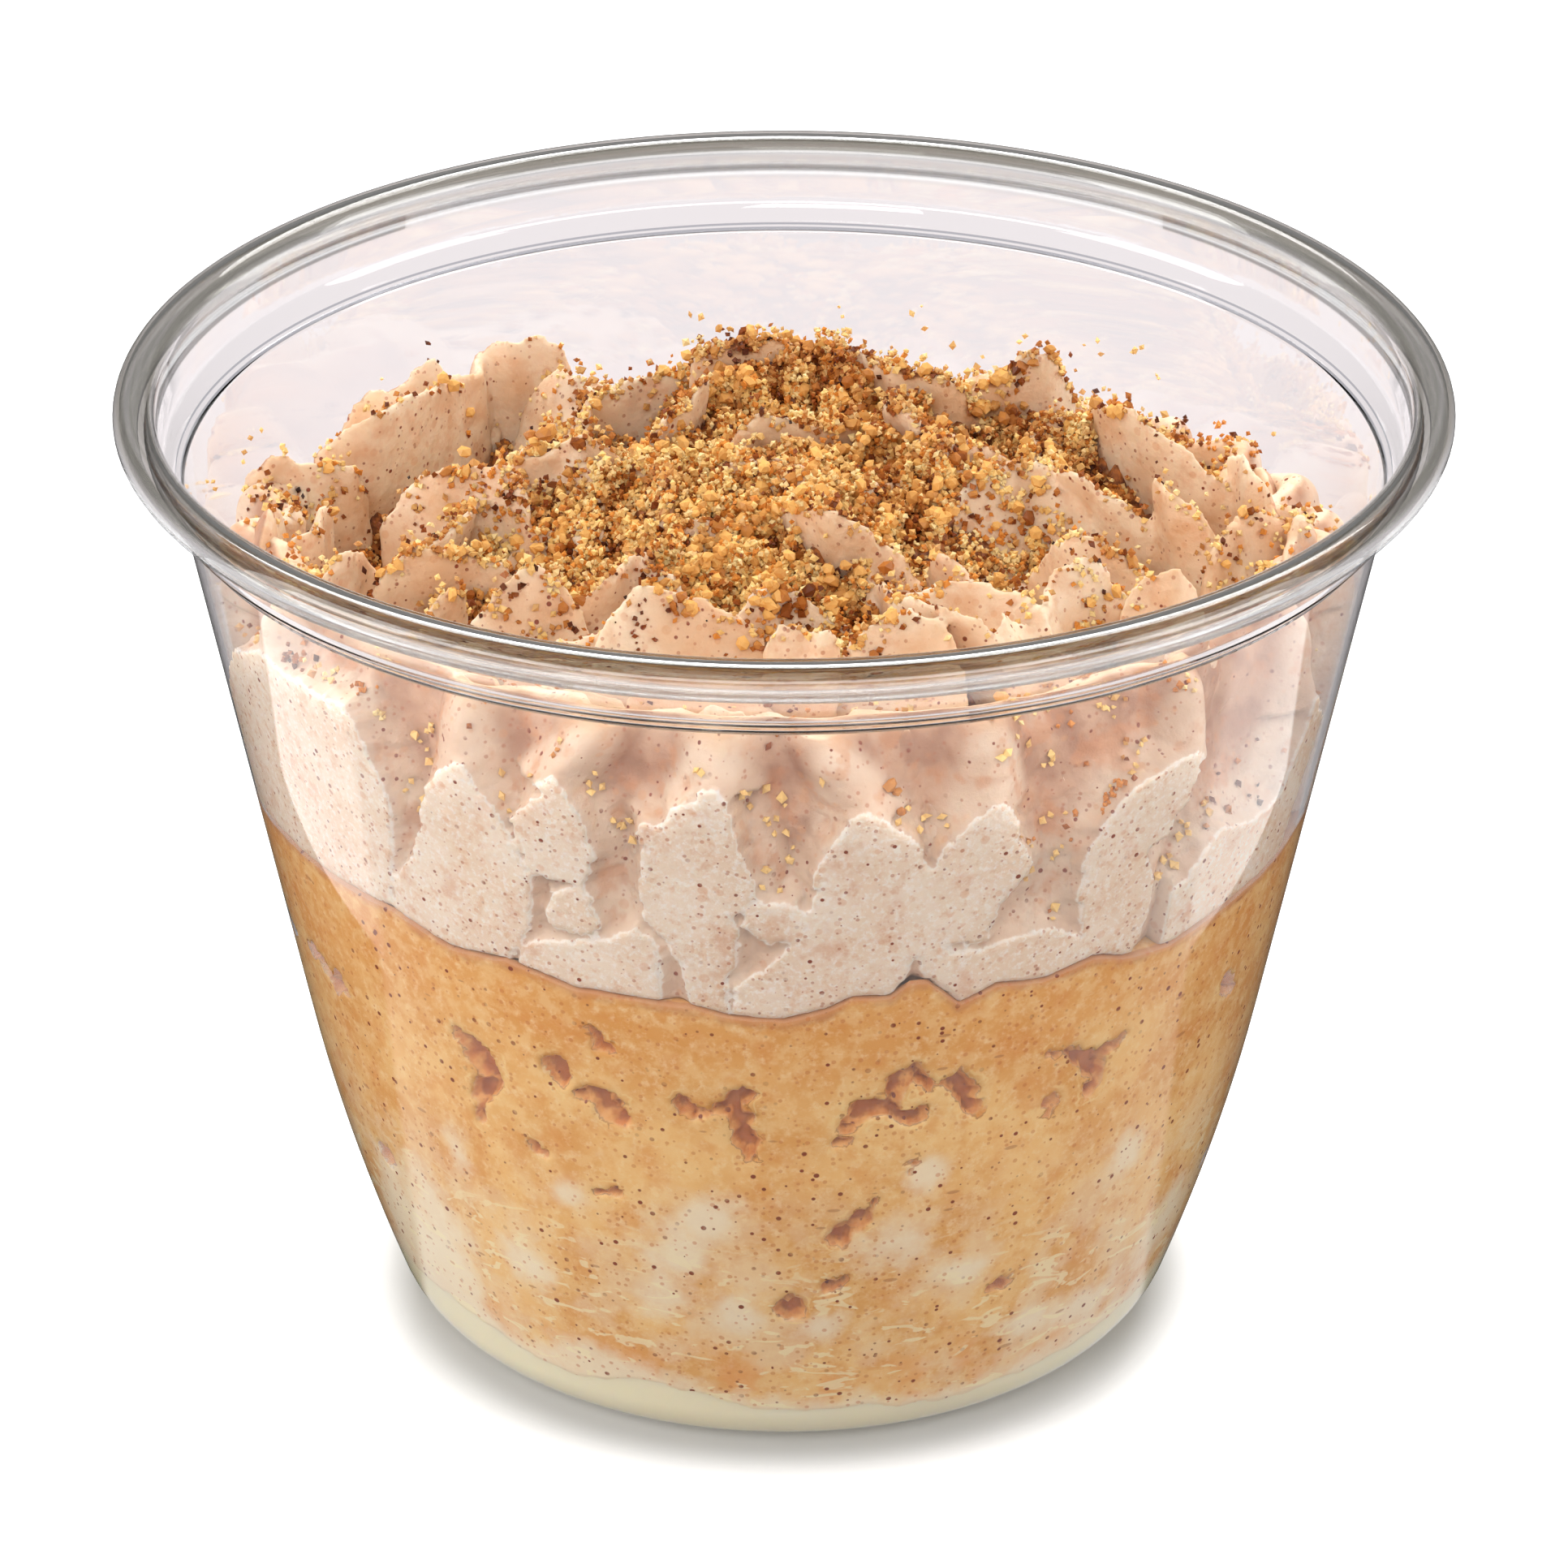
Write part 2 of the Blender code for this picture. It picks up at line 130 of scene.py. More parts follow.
def cup_line():
    """The middle line of the sheet, from the end of the rolled rim to the middle of the base."""
    half = 0.5 * SHEET + 0.004
    points = []
    for step in range(33):
        turn = math.radians(-108.0 + 288.0 * step / 32.0)
        points.append((ROLL_MIDDLE[0] + (ROLL_RADIUS - half) * math.cos(turn),
                       ROLL_MIDDLE[1] + (ROLL_RADIUS - half) * math.sin(turn)))
    collar = points[-1][0]
    points += [(collar - 0.10, 71.4), (collar - 0.20, 70.2), (collar - 0.28, 69.4),
               (collar - 0.42, 68.95), (collar - 0.72, 68.6), (collar - 1.05, 68.3),
               (collar - 1.35, 68.0), (collar - 1.55, 67.65)]
    for height in (67.45, 67.25, 67.0, 66.2, *range(64, 27, -3), *range(26, 9, -2), 8.5, 7, 5.5, 4.2):
        points.append((0.5 * (wall_outside(height) + wall_inside(height)), height))
    last = math.acos(1.0 - CORNER_TOP / CORNER)
    for step in range(9, -1, -1):
        turn = last * step / 10.0
        points.append((foot_radius() + (CORNER - half) * math.sin(turn),
                       CORNER - (CORNER - half) * math.cos(turn)))
    edge = foot_radius() - FOOT_WIDTH
    points += [(edge + 0.4, half), (edge + 0.1, half + 0.06), (edge - 0.3, half + 0.3),
               (edge - 0.8, half + 0.7), (edge - 1.2, half + 0.92), (edge - 1.7, half + BASE_RECESS),
               (12.0, half + BASE_RECESS), (0.0, half + BASE_RECESS)]
    return points


cup = spun("clear_cup", cup_line(), CUP_SIDES)
fix(cup, "SOLIDIFY", thickness=SHEET * MM, offset=0.0, use_even_offset=True)
smooth(cup, 50.0)


class Tone:
    """A socket of a material that can be added to, multiplied and so on."""

    def __init__(self, finish, socket):
        self.finish, self.socket = finish, socket

    def maths(self, operation, *values):
        return self.finish.node("ShaderNodeMath", {"operation": operation}, dict(enumerate(values)))

    def __add__(self, other):
        return self.maths("ADD", self, other)

    def __radd__(self, other):
        return self.maths("ADD", other, self)

    def __sub__(self, other):
        return self.maths("SUBTRACT", self, other)

    def __rsub__(self, other):
        return self.maths("SUBTRACT", other, self)

    def __mul__(self, other):
        return self.maths("MULTIPLY", self, other)

    def __rmul__(self, other):
        return self.maths("MULTIPLY", other, self)

    def __truediv__(self, other):
        return self.maths("DIVIDE", self, other)

    def __pow__(self, other):
        return self.maths("POWER", self, other)

    def __lt__(self, other):
        return self.maths("LESS_THAN", self, other)

    def __gt__(self, other):
        return self.maths("GREATER_THAN", self, other)

    def size(self):
        return self.maths("ABSOLUTE", self)

    def least(self, other):
        return self.maths("MINIMUM", self, other)

    def most(self, other):
        return self.maths("MAXIMUM", self, other)

    def ease(self, low, high):
        """Nothing at low, one at high, and smooth between."""
        return self.finish.node("ShaderNodeMapRange", {"interpolation_type": "SMOOTHSTEP"}, {
            "Value": self, "From Min": low, "From Max": high})


class Nodes:
    """The nodes of a material or of the world."""

    def __init__(self, owner):
        owner.use_nodes = True
        self.tree = owner.node_tree

    def node(self, kind, settings, values, out=0):
        """Any node, from its type, its settings and the values or links of its sockets."""
        made = self.tree.nodes.new(kind)
        for name, value in settings.items():
            setattr(made, name, value)
        for name, value in values.items():
            if isinstance(value, Tone):
                self.tree.links.new(value.socket, made.inputs[name])
            else:
                made.inputs[name].default_value = value
        return Tone(self, made.outputs[out])

    def ray(self, kind):
        """What is known of the ray that meets the surface."""
        return self.node("ShaderNodeLightPath", {}, {}, kind)


class Finish(Nodes):
    """A material that is put together from nodes."""

    def __init__(self, name, **base):
        self.material = bpy.data.materials.new(name)
        super().__init__(self.material)
        self.tree.nodes.clear()
        self.output = self.tree.nodes.new("ShaderNodeOutputMaterial")
        self.shader = self.tree.nodes.new("ShaderNodeBsdfPrincipled")
        self.tree.links.new(self.shader.outputs[0], self.output.inputs[0])
        for socket, value in base.items():
            self.shader.inputs[socket.replace("_", " ")].default_value = value
        self.place = self.node("ShaderNodeTexCoord", {}, {}, "Object")

    def spot(self, stretch, shift):
        return self.node("ShaderNodeMapping", {}, {"Vector": self.place, "Scale": stretch,
                                                   "Location": shift})

    def noise(self, size, detail=3.0, rough=0.5, stretch=(1, 1, 1), shift=(0, 0, 0), warp=0.0):
        """Soft noise whose lumps measure about size millimetres."""
        return self.node("ShaderNodeTexNoise", {}, {
            "Vector": self.spot(stretch, shift), "Scale": 1.0 / (size * MM), "Detail": detail,
            "Roughness": rough, "Distortion": warp})

    def cells(self, size, out="Distance", stretch=(1, 1, 1), shift=(0, 0, 0)):
        """Cells about size millimetres apart: distance to a cell's middle, or its colour."""
        return self.node("ShaderNodeTexVoronoi", {}, {
            "Vector": self.spot(stretch, shift), "Scale": 1.0 / (size * MM)}, out)

    def specks(self, size, largest, smallest, share, stretch=(1, 1, 1), shift=(0, 0, 0)):
        """Round specks scattered about size millimetres apart, their radii in shares of that."""
        chance = self.node("ShaderNodeSeparateColor", {}, {
            "Color": self.cells(size, "Color", stretch, shift)}, 0)
        reach = smallest + (largest - smallest) * (chance / share)
        return (1.0 - (self.cells(size, "Distance", stretch, shift) / reach).ease(0.75, 1.1)) \
            * (chance < share)

    def axis(self, name):
        return self.node("ShaderNodeSeparateXYZ", {}, {"Vector": self.place}, name) * (1.0 / MM)

    def mark(self, name):
        """A value that the mesh carries at its points."""
        return self.node("ShaderNodeAttribute", {"attribute_name": name}, {}, "Fac")

    def mix(self, amount, under, over):
        """A colour that goes from one to the other by an amount."""
        def full(colour):
            return colour if isinstance(colour, Tone) else (*colour, 1.0)
        return self.node("ShaderNodeMix", {"data_type": "RGBA"}, {
            0: amount, 6: full(under), 7: full(over)}, 2)

    def mottled(self, size, detail, under, over, rough=0.5):
        """Two screen colours in soft patches about size millimetres wide."""
        return self.mix(self.noise(size, detail, rough).ease(0.35, 0.65), srgb(*under), srgb(*over))

    def coated(self, tone, *coats):
        """A colour under thin coats, each of them an amount and a screen colour."""
        for amount, colour in coats:
            tone = self.mix(amount, tone, srgb(*colour))
        return tone

    def feed(self, **sockets):
        for socket, tone in sockets.items():
            self.tree.links.new(tone.socket, self.shader.inputs[socket.replace("_", " ")])
        return self

    def bump(self, height, distance):
        """Fine relief, distance in millimetres."""
        return self.feed(Normal=self.node("ShaderNodeBump", {}, {
            "Height": height, "Distance": distance * MM}))

    def dress(self, *pieces):
        for piece in pieces:
            piece.data.materials.clear()
            piece.data.materials.append(self.material)


def srgb(red, green, blue):
    """A colour as it is read off a screen, 0 to 255, turned into light."""
    return tuple((part / 255.0 / 12.92) if part < 10.3 else ((part / 255.0 + 0.055) / 1.055) ** 2.4
                 for part in (red, green, blue))


sheet = Finish("clear_plastic_sheet", Base_Color=(0.985, 0.99, 0.992, 1.0), Roughness=0.0, IOR=1.57,
               Transmission_Weight=1.0)
height = sheet.axis("Z")
ring = (sheet.axis("X") ** 2.0 + sheet.axis("Y") ** 2.0) ** 0.5 + 0.5 * sheet.noise(14.0)
reflection_streaks = sheet.node("ShaderNodeTexNoise", {}, {"Vector": sheet.node("ShaderNodeCombineXYZ", {}, {
    "X": ring, "Y": height}), "Scale": 3.0, "Detail": 3.0}).ease(0.35, 0.65)
clear_under_roll = height.ease(71.2, 71.4) * height.ease(72.6, 72.3) * 0.5
both = sheet.node("ShaderNodeMixShader", {}, {
    0: sheet.ray("Is Shadow Ray").most(clear_under_roll),
    1: Tone(sheet, sheet.shader.outputs[0]),
    2: sheet.node("ShaderNodeBsdfTransparent", {}, {"Color": (0.93, 0.94, 0.945, 1.0)})})
sheet.tree.links.new(both.socket, sheet.output.inputs[0])
# Painted reflection and shade: the rolled rim is painted grey, with a darker streaked band and a lighter
# crest, where the clear roll mirrors and refracts a dim room. A thin painted dark line runs along the ledge.
roll_painted_dark_reflection = sheet.mix(reflection_streaks, (0.36, 0.35, 0.3), (0.5, 0.49, 0.45))
crest_painted_grey_reflection = sheet.mix(reflection_streaks, (0.66, 0.65, 0.63), (0.8, 0.79, 0.77))
tint_and_painted_greys = sheet.mix(height.ease(71.0, 71.4), (0.985, 0.975, 0.975), (0.88, 0.88, 0.87))
tint_and_painted_greys = sheet.mix(height.ease(73.2, 73.5), tint_and_painted_greys, roll_painted_dark_reflection)
tint_and_painted_greys = sheet.mix(height.ease(74.08, 74.2), tint_and_painted_greys, crest_painted_grey_reflection)
painted_ledge_shade_line = 1.0 - ((height - 67.65).size() / 0.11).ease(0.5, 1.0)
sheet.feed(Base_Color=sheet.mix(painted_ledge_shade_line, tint_and_painted_greys, (0.3, 0.32, 0.36)))
sheet.dress(cup)
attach(cup, "root")
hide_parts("cup")


# The milk: what the sponge hasn't taken up, lying in the rounded corner of the cup. Its skin
# reaches just into the sheet, as a liquid lies that wets the wall.
REACH = 0.06
FLOOR_INSIDE = SHEET + BASE_RECESS
MILK_TOP = 4.4
MILK_SIDES = 360
# Where the milk's edge lies on the wall: angle from the front and height
MILK_LINE = ((-180, 4.0), (-150, 5.2), (-120, 4.2), (-90, 5.6), (-70, 7.2), (-55, 7.4), (-46, 6.4),
             (-38, 5.4), (-30, 5.0), (-21, 6.1), (-11, 5.8), (-5, 4.6), (3, 4.1), (12, 4.5), (21, 3.6),
             (31, 3.9), (42, 4.4), (54, 5.4), (70, 6.6), (90, 5.0), (125, 5.4), (155, 3.6), (180, 4.0))


def turned_from(angles, middle):
    """How far angles lie from another round the cup, in degrees either way."""
    return (angles - middle + 180.0) % 360.0 - 180.0


def along(line, angles):
    """Values at angles round the cup, read off a line of angles and values."""
    return np.interp(turned_from(np.asarray(angles), 0.0), *np.array(line).T)


def points_of(piece):
    """The places of a mesh's points in millimetres."""
    flat = np.empty(3 * len(piece.data.vertices), dtype=np.float32)
    piece.data.vertices.foreach_get("co", flat)
    return flat.reshape(-1, 3).astype(float) / MM


def move_points(piece, places):
    """Put a mesh's points at places in millimetres."""
    piece.data.vertices.foreach_set("co", (places * MM).astype(np.float32).ravel())
    piece.data.update()


def write_mark(piece, name, values):
    """Store a value at every point of a mesh for its material to read."""
    piece.data.attributes.new(name, "FLOAT", "POINT").data.foreach_set(
        "value", np.asarray(values, dtype=np.float32))


def wobble(places, size, shift=0.0):
    """Soft random values from about -1 to 1 that change over size millimetres."""
    return np.array([noise.noise((x + shift, y, z)) for x, y, z in (places / size).tolist()])


def round_cup(places):
    """Angles from the front in degrees, positive to the right, and radii."""
    return (np.degrees(np.arctan2(places[:, 0], -places[:, 1])),
            np.hypot(places[:, 0], places[:, 1]))


inside_heights = np.linspace(0.5, 74.0, 736)
inside_radii = np.array([wall_inside(height) for height in inside_heights])


def inside(heights):
    """Radii of the cup's inner face at many heights."""
    return np.interp(heights, inside_heights, inside_radii)


def on_wall(low, high, step, reach):
    """Points of an outline down the cup's inner face, from high to low."""
    count = max(1, round((high - low) / step))
    heights = [high - (high - low) * i / count for i in range(count + 1)]
    return [(wall_inside(height) + reach, height) for height in heights]


milk_outline = [(0.0, MILK_TOP), (22.0, MILK_TOP)] + on_wall(0.56, MILK_TOP, 0.4, REACH)
milk_outline += [(foot_radius(), SHEET - REACH), (foot_radius() - FOOT_WIDTH + 0.3, SHEET - REACH),
                 (foot_radius() - FOOT_WIDTH - 1.9, FLOOR_INSIDE - REACH), (0.0, FLOOR_INSIDE - REACH)]
milk = spun("milk_pool_skin", milk_outline, MILK_SIDES)
spots = points_of(milk)
angles, radii = round_cup(spots)
edge = (spots[:, 2] > MILK_TOP - 0.1) & (radii > 24.0)
spots[edge, 2] = along(MILK_LINE, angles[edge]) + 0.6 + 0.25 * wobble(spots[edge], 2.0)
spots[edge, :2] *= ((inside(spots[edge, 2]) + REACH) / radii[edge])[:, None]
move_points(milk, spots)
smooth(milk, 50.0)
milky = Finish("sweet_milk", Roughness=0.25, IOR=1.35, Subsurface_Weight=0.3,
               Subsurface_Radius=(0.004, 0.003, 0.0015), Subsurface_Scale=0.5)
milky.feed(Base_Color=milky.mix(milky.noise(9.0), srgb(255, 240, 204), srgb(255, 246, 220)))
milky.dress(milk)
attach(milk, "root")
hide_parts("milk_pool")


# The sponge: two soaked rounds, one on the other. The lower one shows milk in its crumb, the upper
# one a smooth golden skin, and irregular air pockets are left where they meet and lower down. A
# pocket is a chain of round hollows with a ragged edge, pressed into the face at the wall.
SEAM = 33.75
SPONGE_TOP_LINE = ((-180, 43.4), (-150, 44.2), (-120, 43.0), (-90, 44.6), (-66, 45.2), (-52, 45.3),
                   (-45, 45.4), (-37, 44.0), (-30, 44.5), (-22, 43.3), (-14, 43.2), (-9, 43.0),
                   (-5, 42.3), (0, 42.1), (4, 42.9), (7, 43.9), (11, 43.9), (13, 44.9),
                   (15, 44.9), (18.6, 42.4), (22.5, 43.6), (28, 43.1), (34, 43.9), (39, 42.8),
                   (45, 42.3), (55, 43.1), (75, 44.2), (100, 43.2), (130, 44.4), (160, 43.6),
                   (180, 43.4))
SPONGE_STEP = 0.32
SPONGE_SIDES = 720
UPPER_FOOT, UPPER_TOP = SEAM - 0.3, 43.6
UPPER_REACH = 2 * REACH + 0.01
HOLLOW_DEPTH = 1.1
# Each hollow: angle, height and radius
HOLLOWS = (
    ((-37.4, 35.9, 0.7), (-34.9, 34.2, 1.1), (-34.1, 32.5, 0.9), (-36.4, 31.6, 0.8), (-37.0, 29.0, 0.4)),
    ((-25.6, 36.0, 0.9), (-24.9, 34.6, 0.6)),
    ((-23.2, 33.5, 0.6), (-21.3, 33.9, 0.7), (-19.6, 32.8, 1.0), (-18.4, 32.0, 0.8)),
    ((-21.1, 40.0, 0.4), (-19.9, 38.5, 0.5)),
    ((-11.4, 34.4, 0.6), (-9.9, 33.0, 0.4), (-7.8, 33.4, 0.6), (-5.5, 34.3, 0.7), (-4.5, 35.6, 0.3)),
    ((-5.5, 34.3, 0.7), (-4.6, 32.6, 0.85), (-3.9, 30.9, 0.8), (-4.0, 29.5, 0.45)),
    ((6.2, 31.4, 0.6), (8.5, 33.7, 0.75), (10.2, 34.2, 0.7), (11.7, 34.1, 0.6), (12.3, 35.9, 0.6),
     (13.4, 36.9, 0.5), (14.6, 36.7, 0.5), (15.9, 35.5, 0.45)),
    ((11.7, 34.1, 0.55), (13.0, 32.9, 0.5), (15.2, 32.7, 0.6)),
    ((17.7, 35.3, 0.3), (18.9, 35.7, 0.6), (20.3, 34.3, 0.65), (21.2, 32.6, 0.7)),
    ((30.2, 36.0, 0.3), (32.9, 35.5, 0.3), (35.8, 34.6, 0.95), (38.3, 34.8, 0.7), (40.3, 35.0, 0.3)),
    ((35.8, 34.6, 0.9), (37.3, 32.9, 0.9), (36.9, 31.3, 0.5)),
    ((31.0, 31.1, 0.85), (31.3, 30.9, 0.85)),
    ((6.5, 22.1, 0.8), (8.0, 23.4, 0.5), (9.4, 23.8, 0.8), (10.8, 25.3, 0.55)),
    ((5.9, 17.2, 0.6), (6.7, 17.3, 0.6)),
    ((-0.4, 15.6, 0.8), (0.8, 15.2, 0.9), (1.2, 14.8, 0.7)),
    ((-22.7, 24.7, 0.1), (-20.5, 25.2, 0.2)),
    ((-30.4, 28.0, 0.15), (-28.8, 26.9, 0.15)),
    ((27.4, 14.3, 0.2), (30.0, 15.6, 0.2)),
    ((14.5, 27.6, 0.15), (15.2, 28.4, 0.2)),
)
# Where milk shows through the crumb: angle, height, half its width and half its height
MILKY = (
    (-49, 16, 3.4, 6.0), (-13, 20.5, 3.2, 3.6), (-8, 24.5, 2.6, 1.8), (-26, 23.7, 2.0, 1.3),
    (-6, 13.8, 2.2, 3.2), (-34, 15.5, 2.4, 2.8), (-58, 9, 6.0, 5.0), (-60, 16, 3.5, 5.0),
    (-42, 24.5, 1.5, 2.5), (16.5, 27, 1.8, 2.2), (13, 20.5, 3.6, 2.6), (44, 8.5, 4.5, 3.0),
    (34, 10, 2.4, 1.6), (-27, 7.6, 4.5, 2.0), (-16, 15, 2.2, 2.4), (45, 23, 2.4, 2.6),
    (22, 17, 2.8, 1.6), (5, 13, 2.2, 1.6), (60, 13, 4.0, 4.5), (85, 9, 6, 3), (110, 17, 4, 4),
    (138, 12, 5, 3), (165, 20, 4, 4), (-170, 10, 5, 3), (-140, 16, 4, 4), (-112, 9, 6, 4),
    (-85, 14, 5, 4),
)
draw = random.Random(5)
hollows = list(HOLLOWS)
for turn in range(58, 304, 17):
    angle, height = turn + draw.uniform(-5, 5), draw.uniform(31.0, 35.5)
    chain = []
    for _ in range(draw.randint(2, 5)):
        chain.append((angle, height, draw.uniform(0.4, 0.95)))
        angle, height = angle + draw.uniform(0.8, 2.4), height + draw.uniform(-1.6, 1.6)
    hollows.append(tuple(chain))
for turn in range(65, 300, 26):
    angle, height, wide = turn + draw.uniform(-9, 9), draw.uniform(13.0, 28.0), draw.uniform(0.2, 0.7)
    beyond, above = angle + draw.uniform(0.8, 2.2), height + draw.uniform(-1, 1)
    hollows.append(((angle, height, wide), (beyond, above, wide)))


def sponge_top(places, angles):
    """How high the sponge stands at the wall."""
    behind = np.clip((np.abs(angles) - 60.0) / 20.0, 0.0, 1.0)
    flat = places * (1.0, 1.0, 0.0)
    return along(SPONGE_TOP_LINE, angles) + 0.12 * wobble(places, 1.3) + behind * 0.9 * wobble(flat, 5.0)


def hollow_distance(places):
    """How far outside the nearest hollow every point at the wall lies, in millimetres."""
    angles, radii = round_cup(places)
    nearest = np.full(len(places), 5.0)
    for chain in hollows:
        for (a, za, ra), (b, zb, rb) in zip(chain, chain[1:]):
            across = turned_from(angles, a) * math.pi / 180.0 * radii
            rise = places[:, 2] - za
            run, climb = math.radians(b - a) * 38.0, zb - za
            share = np.clip((across * run + rise * climb) / (run * run + climb * climb), 0.0, 1.0)
            gap = np.hypot(across - share * run, rise - share * climb) - (ra + (rb - ra) * share)
            nearest = np.minimum(nearest, gap)
    return nearest


lower = spun("lower_sponge_skin", [(0.0, SEAM), (30.0, SEAM), (34.0, SEAM)]
             + on_wall(2.0, SEAM, SPONGE_STEP, 2 * REACH) + [(24.0, 2.4), (0.0, 2.4)], SPONGE_SIDES)
upper = spun("upper_sponge_skin", [(0.0, 43.0), (32.0, 43.0), (36.5, 43.2)]
             + on_wall(UPPER_FOOT, UPPER_TOP, SPONGE_STEP, UPPER_REACH)
             + [(30.0, UPPER_FOOT), (0.0, UPPER_FOOT)], SPONGE_SIDES)
for piece, node, reach in ((lower, "sponge_lower", 2 * REACH), (upper, "sponge_upper", UPPER_REACH)):
    spots = points_of(piece)
    angles, radii = round_cup(spots)
    wall = radii > inside(spots[:, 2]) - 0.5
    edge, turned, radii = spots[wall], angles[wall], radii[wall]
    if piece == upper:
        top = sponge_top(edge, turned)
        edge[:, 2] = UPPER_FOOT + (edge[:, 2] - SEAM + 0.3) * (top - SEAM + 0.3) / (UPPER_TOP + 0.3 - SEAM)
    milk_top = along(MILK_LINE, turned) + 0.5 * wobble(edge, 1.8, 4.0)
    near = hollow_distance(edge) + 0.75 * wobble(edge, 1.5) + 0.55 * wobble(edge, 0.65, 9.0) - 0.05
    sunk = np.clip((0.15 - near) / 0.75, 0.0, 1.0)
    sunk = HOLLOW_DEPTH * sunk * sunk * (3.0 - 2.0 * sunk)
    if piece == upper:
        sunk = sunk + 0.45 * np.clip((edge[:, 2] - top + 0.35) / 0.35, 0.0, 1.0) ** 2
    sunk = sunk + 0.4 * np.clip((milk_top - edge[:, 2] + 0.2) / 0.6, 0.0, 1.0)
    edge[:, :2] *= ((inside(edge[:, 2]) + reach - sunk) / radii)[:, None]
    spots[wall] = edge
    move_points(piece, spots)
    milk_here = np.clip((milk_top + 2.6 - edge[:, 2]) / 2.6, 0.0, 1.0)
    for angle, height, half_width, half_height in MILKY:
        across = turned_from(turned, angle) * math.pi / 180.0 * radii
        milk_here = milk_here + np.exp(-(across / half_width) ** 2
                                       - ((edge[:, 2] - height) / half_height) ** 2)
    for mark, elsewhere, here in (("hollow", 3.0, np.clip(near, -1.0, 3.0)), ("milk", 0.0, milk_here),
                                  ("painted_shade_below_cream", 9.0, top - edge[:, 2] if piece == upper else 9.0)):
        marks = np.full(len(spots), elsewhere)
        marks[wall] = here
        write_mark(piece, mark, marks)
    smooth(piece, 70.0)
    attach(piece, "root")
    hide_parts(node)

soaked = Finish("soaked_sponge_crumb", Roughness=0.4)
height = soaked.axis("Z")
broad = soaked.noise(8.0, 3.0)
golden = (height + 3.0 * soaked.noise(6.0, 2.0)).ease(36.0, 42.0)
crumb_light = soaked.noise(1.6, 4.0, 0.65).ease(0.42, 0.62)
crumb_dark = soaked.noise(2.4, 4.0, 0.65, shift=(5, 0, 0)).ease(0.48, 0.68)
crumb_glints = soaked.noise(0.8, 4.0, 0.7, shift=(0, 7, 3)).ease(0.5, 0.7)
# Painted shade: the sponge is darker just below the cream's edge, where the cream shades it.
painted_shade_below_cream = soaked.mark("painted_shade_below_cream") + 1.6 * (soaked.noise(2.2, 4.0, 0.6, shift=(4, 6, 9)) - 0.5)
low_orange = (height + 4.0 * soaked.noise(5.0)).ease(15.0, 9.0)
low_orange = low_orange * soaked.noise(4.0, shift=(0, 5, 2)).ease(0.45, 0.58)
haze = soaked.noise(5.0, 4.0, 0.55, shift=(6, 2, 9)).ease(0.42, 0.62)
haze = haze * (height + 6.0 * broad).ease(34.0, 20.0)
clouds = (soaked.mark("milk") + 1.5 * (soaked.noise(2.6, 4.0, 0.6, shift=(3, 1, 0)) - 0.5)).ease(0.15, 1.1)
wisps = soaked.noise(1.9, 2.5, 0.55, stretch=(0.55, 0.55, 1.35), shift=(11, 3, 8), warp=1.0).ease(0.58, 0.63)
wisps = wisps * (height + 10.0 * soaked.noise(7.0, 2.0, shift=(2, 9, 4))).ease(31.0, 20.0)
near = soaked.mark("hollow") + 0.5 * (soaked.noise(0.7, 4.0, 0.65) - 0.5)
halo = (1.0 - ((near - 0.6).size() / 0.2).ease(0.3, 1.0)) * soaked.noise(2.0, shift=(1, 1, 8)).ease(0.5, 0.6)
tone = soaked.mix(broad.ease(0.38, 0.62), srgb(232, 173, 99), srgb(247, 203, 136))
tone = soaked.coated(
    tone, (golden * 0.7, (231, 165, 85)), (crumb_light * 0.5, (252, 220, 160)),
    (crumb_dark * 0.5, (228, 154, 80)), (crumb_glints * 0.5, (255, 230, 180)),
    (painted_shade_below_cream.ease(1.1, 0.1) * 0.75, (196, 130, 84)), (low_orange * 0.6, (240, 168, 98)),
    (haze * 0.5, (250, 230, 196)), (clouds * 0.8, (252, 240, 214)), (wisps * 0.7, (255, 243, 202)),
    (halo * 0.55, (252, 222, 160)))
# Inside a hollow the crumb is dry and darker, and painted shade deepens towards its core. A thin painted
# shadow line runs along its rim.
painted_shade_deep_in_hollow = (near + soaked.noise(1.5, shift=(4, 4, 1)) - 0.5).ease(-0.25, -0.6)
deep = soaked.coated(soaked.mottled(1.1, 3.0, (214, 130, 50), (240, 174, 96)), (painted_shade_deep_in_hollow * 0.8, (176, 92, 26)))
tone = soaked.mix(near.ease(0.15, -0.15), tone, deep)
painted_shadow_at_hollow_rim = 1.0 - ((near - 0.04).size() / 0.07).ease(0.3, 1.0)
painted_shadow_at_hollow_rim = painted_shadow_at_hollow_rim * soaked.noise(2.0, shift=(6, 1, 8)).ease(0.4, 0.55)
slits = soaked.specks(4.2, 0.15, 0.08, 0.35, stretch=(1.0, 1.0, 3.2), shift=(5, 5, 5))
cinnamon = soaked.specks(0.62, 0.34, 0.14, 0.6, shift=(0.003, 0, 0))
flocks = 0.25 + 0.75 * soaked.noise(3.5, 3.0, 0.6, shift=(8, 8, 2)).ease(0.4, 0.56)
soaked.feed(Base_Color=soaked.coated(
    tone, (painted_shadow_at_hollow_rim * 0.5, (142, 82, 48)), (slits * 0.55, (176, 110, 66)), (cinnamon * 0.5, (206, 122, 62)),
    (soaked.specks(0.9, 0.26, 0.08, 0.6) * flocks, (138, 62, 32))))
soaked.dress(lower, upper)


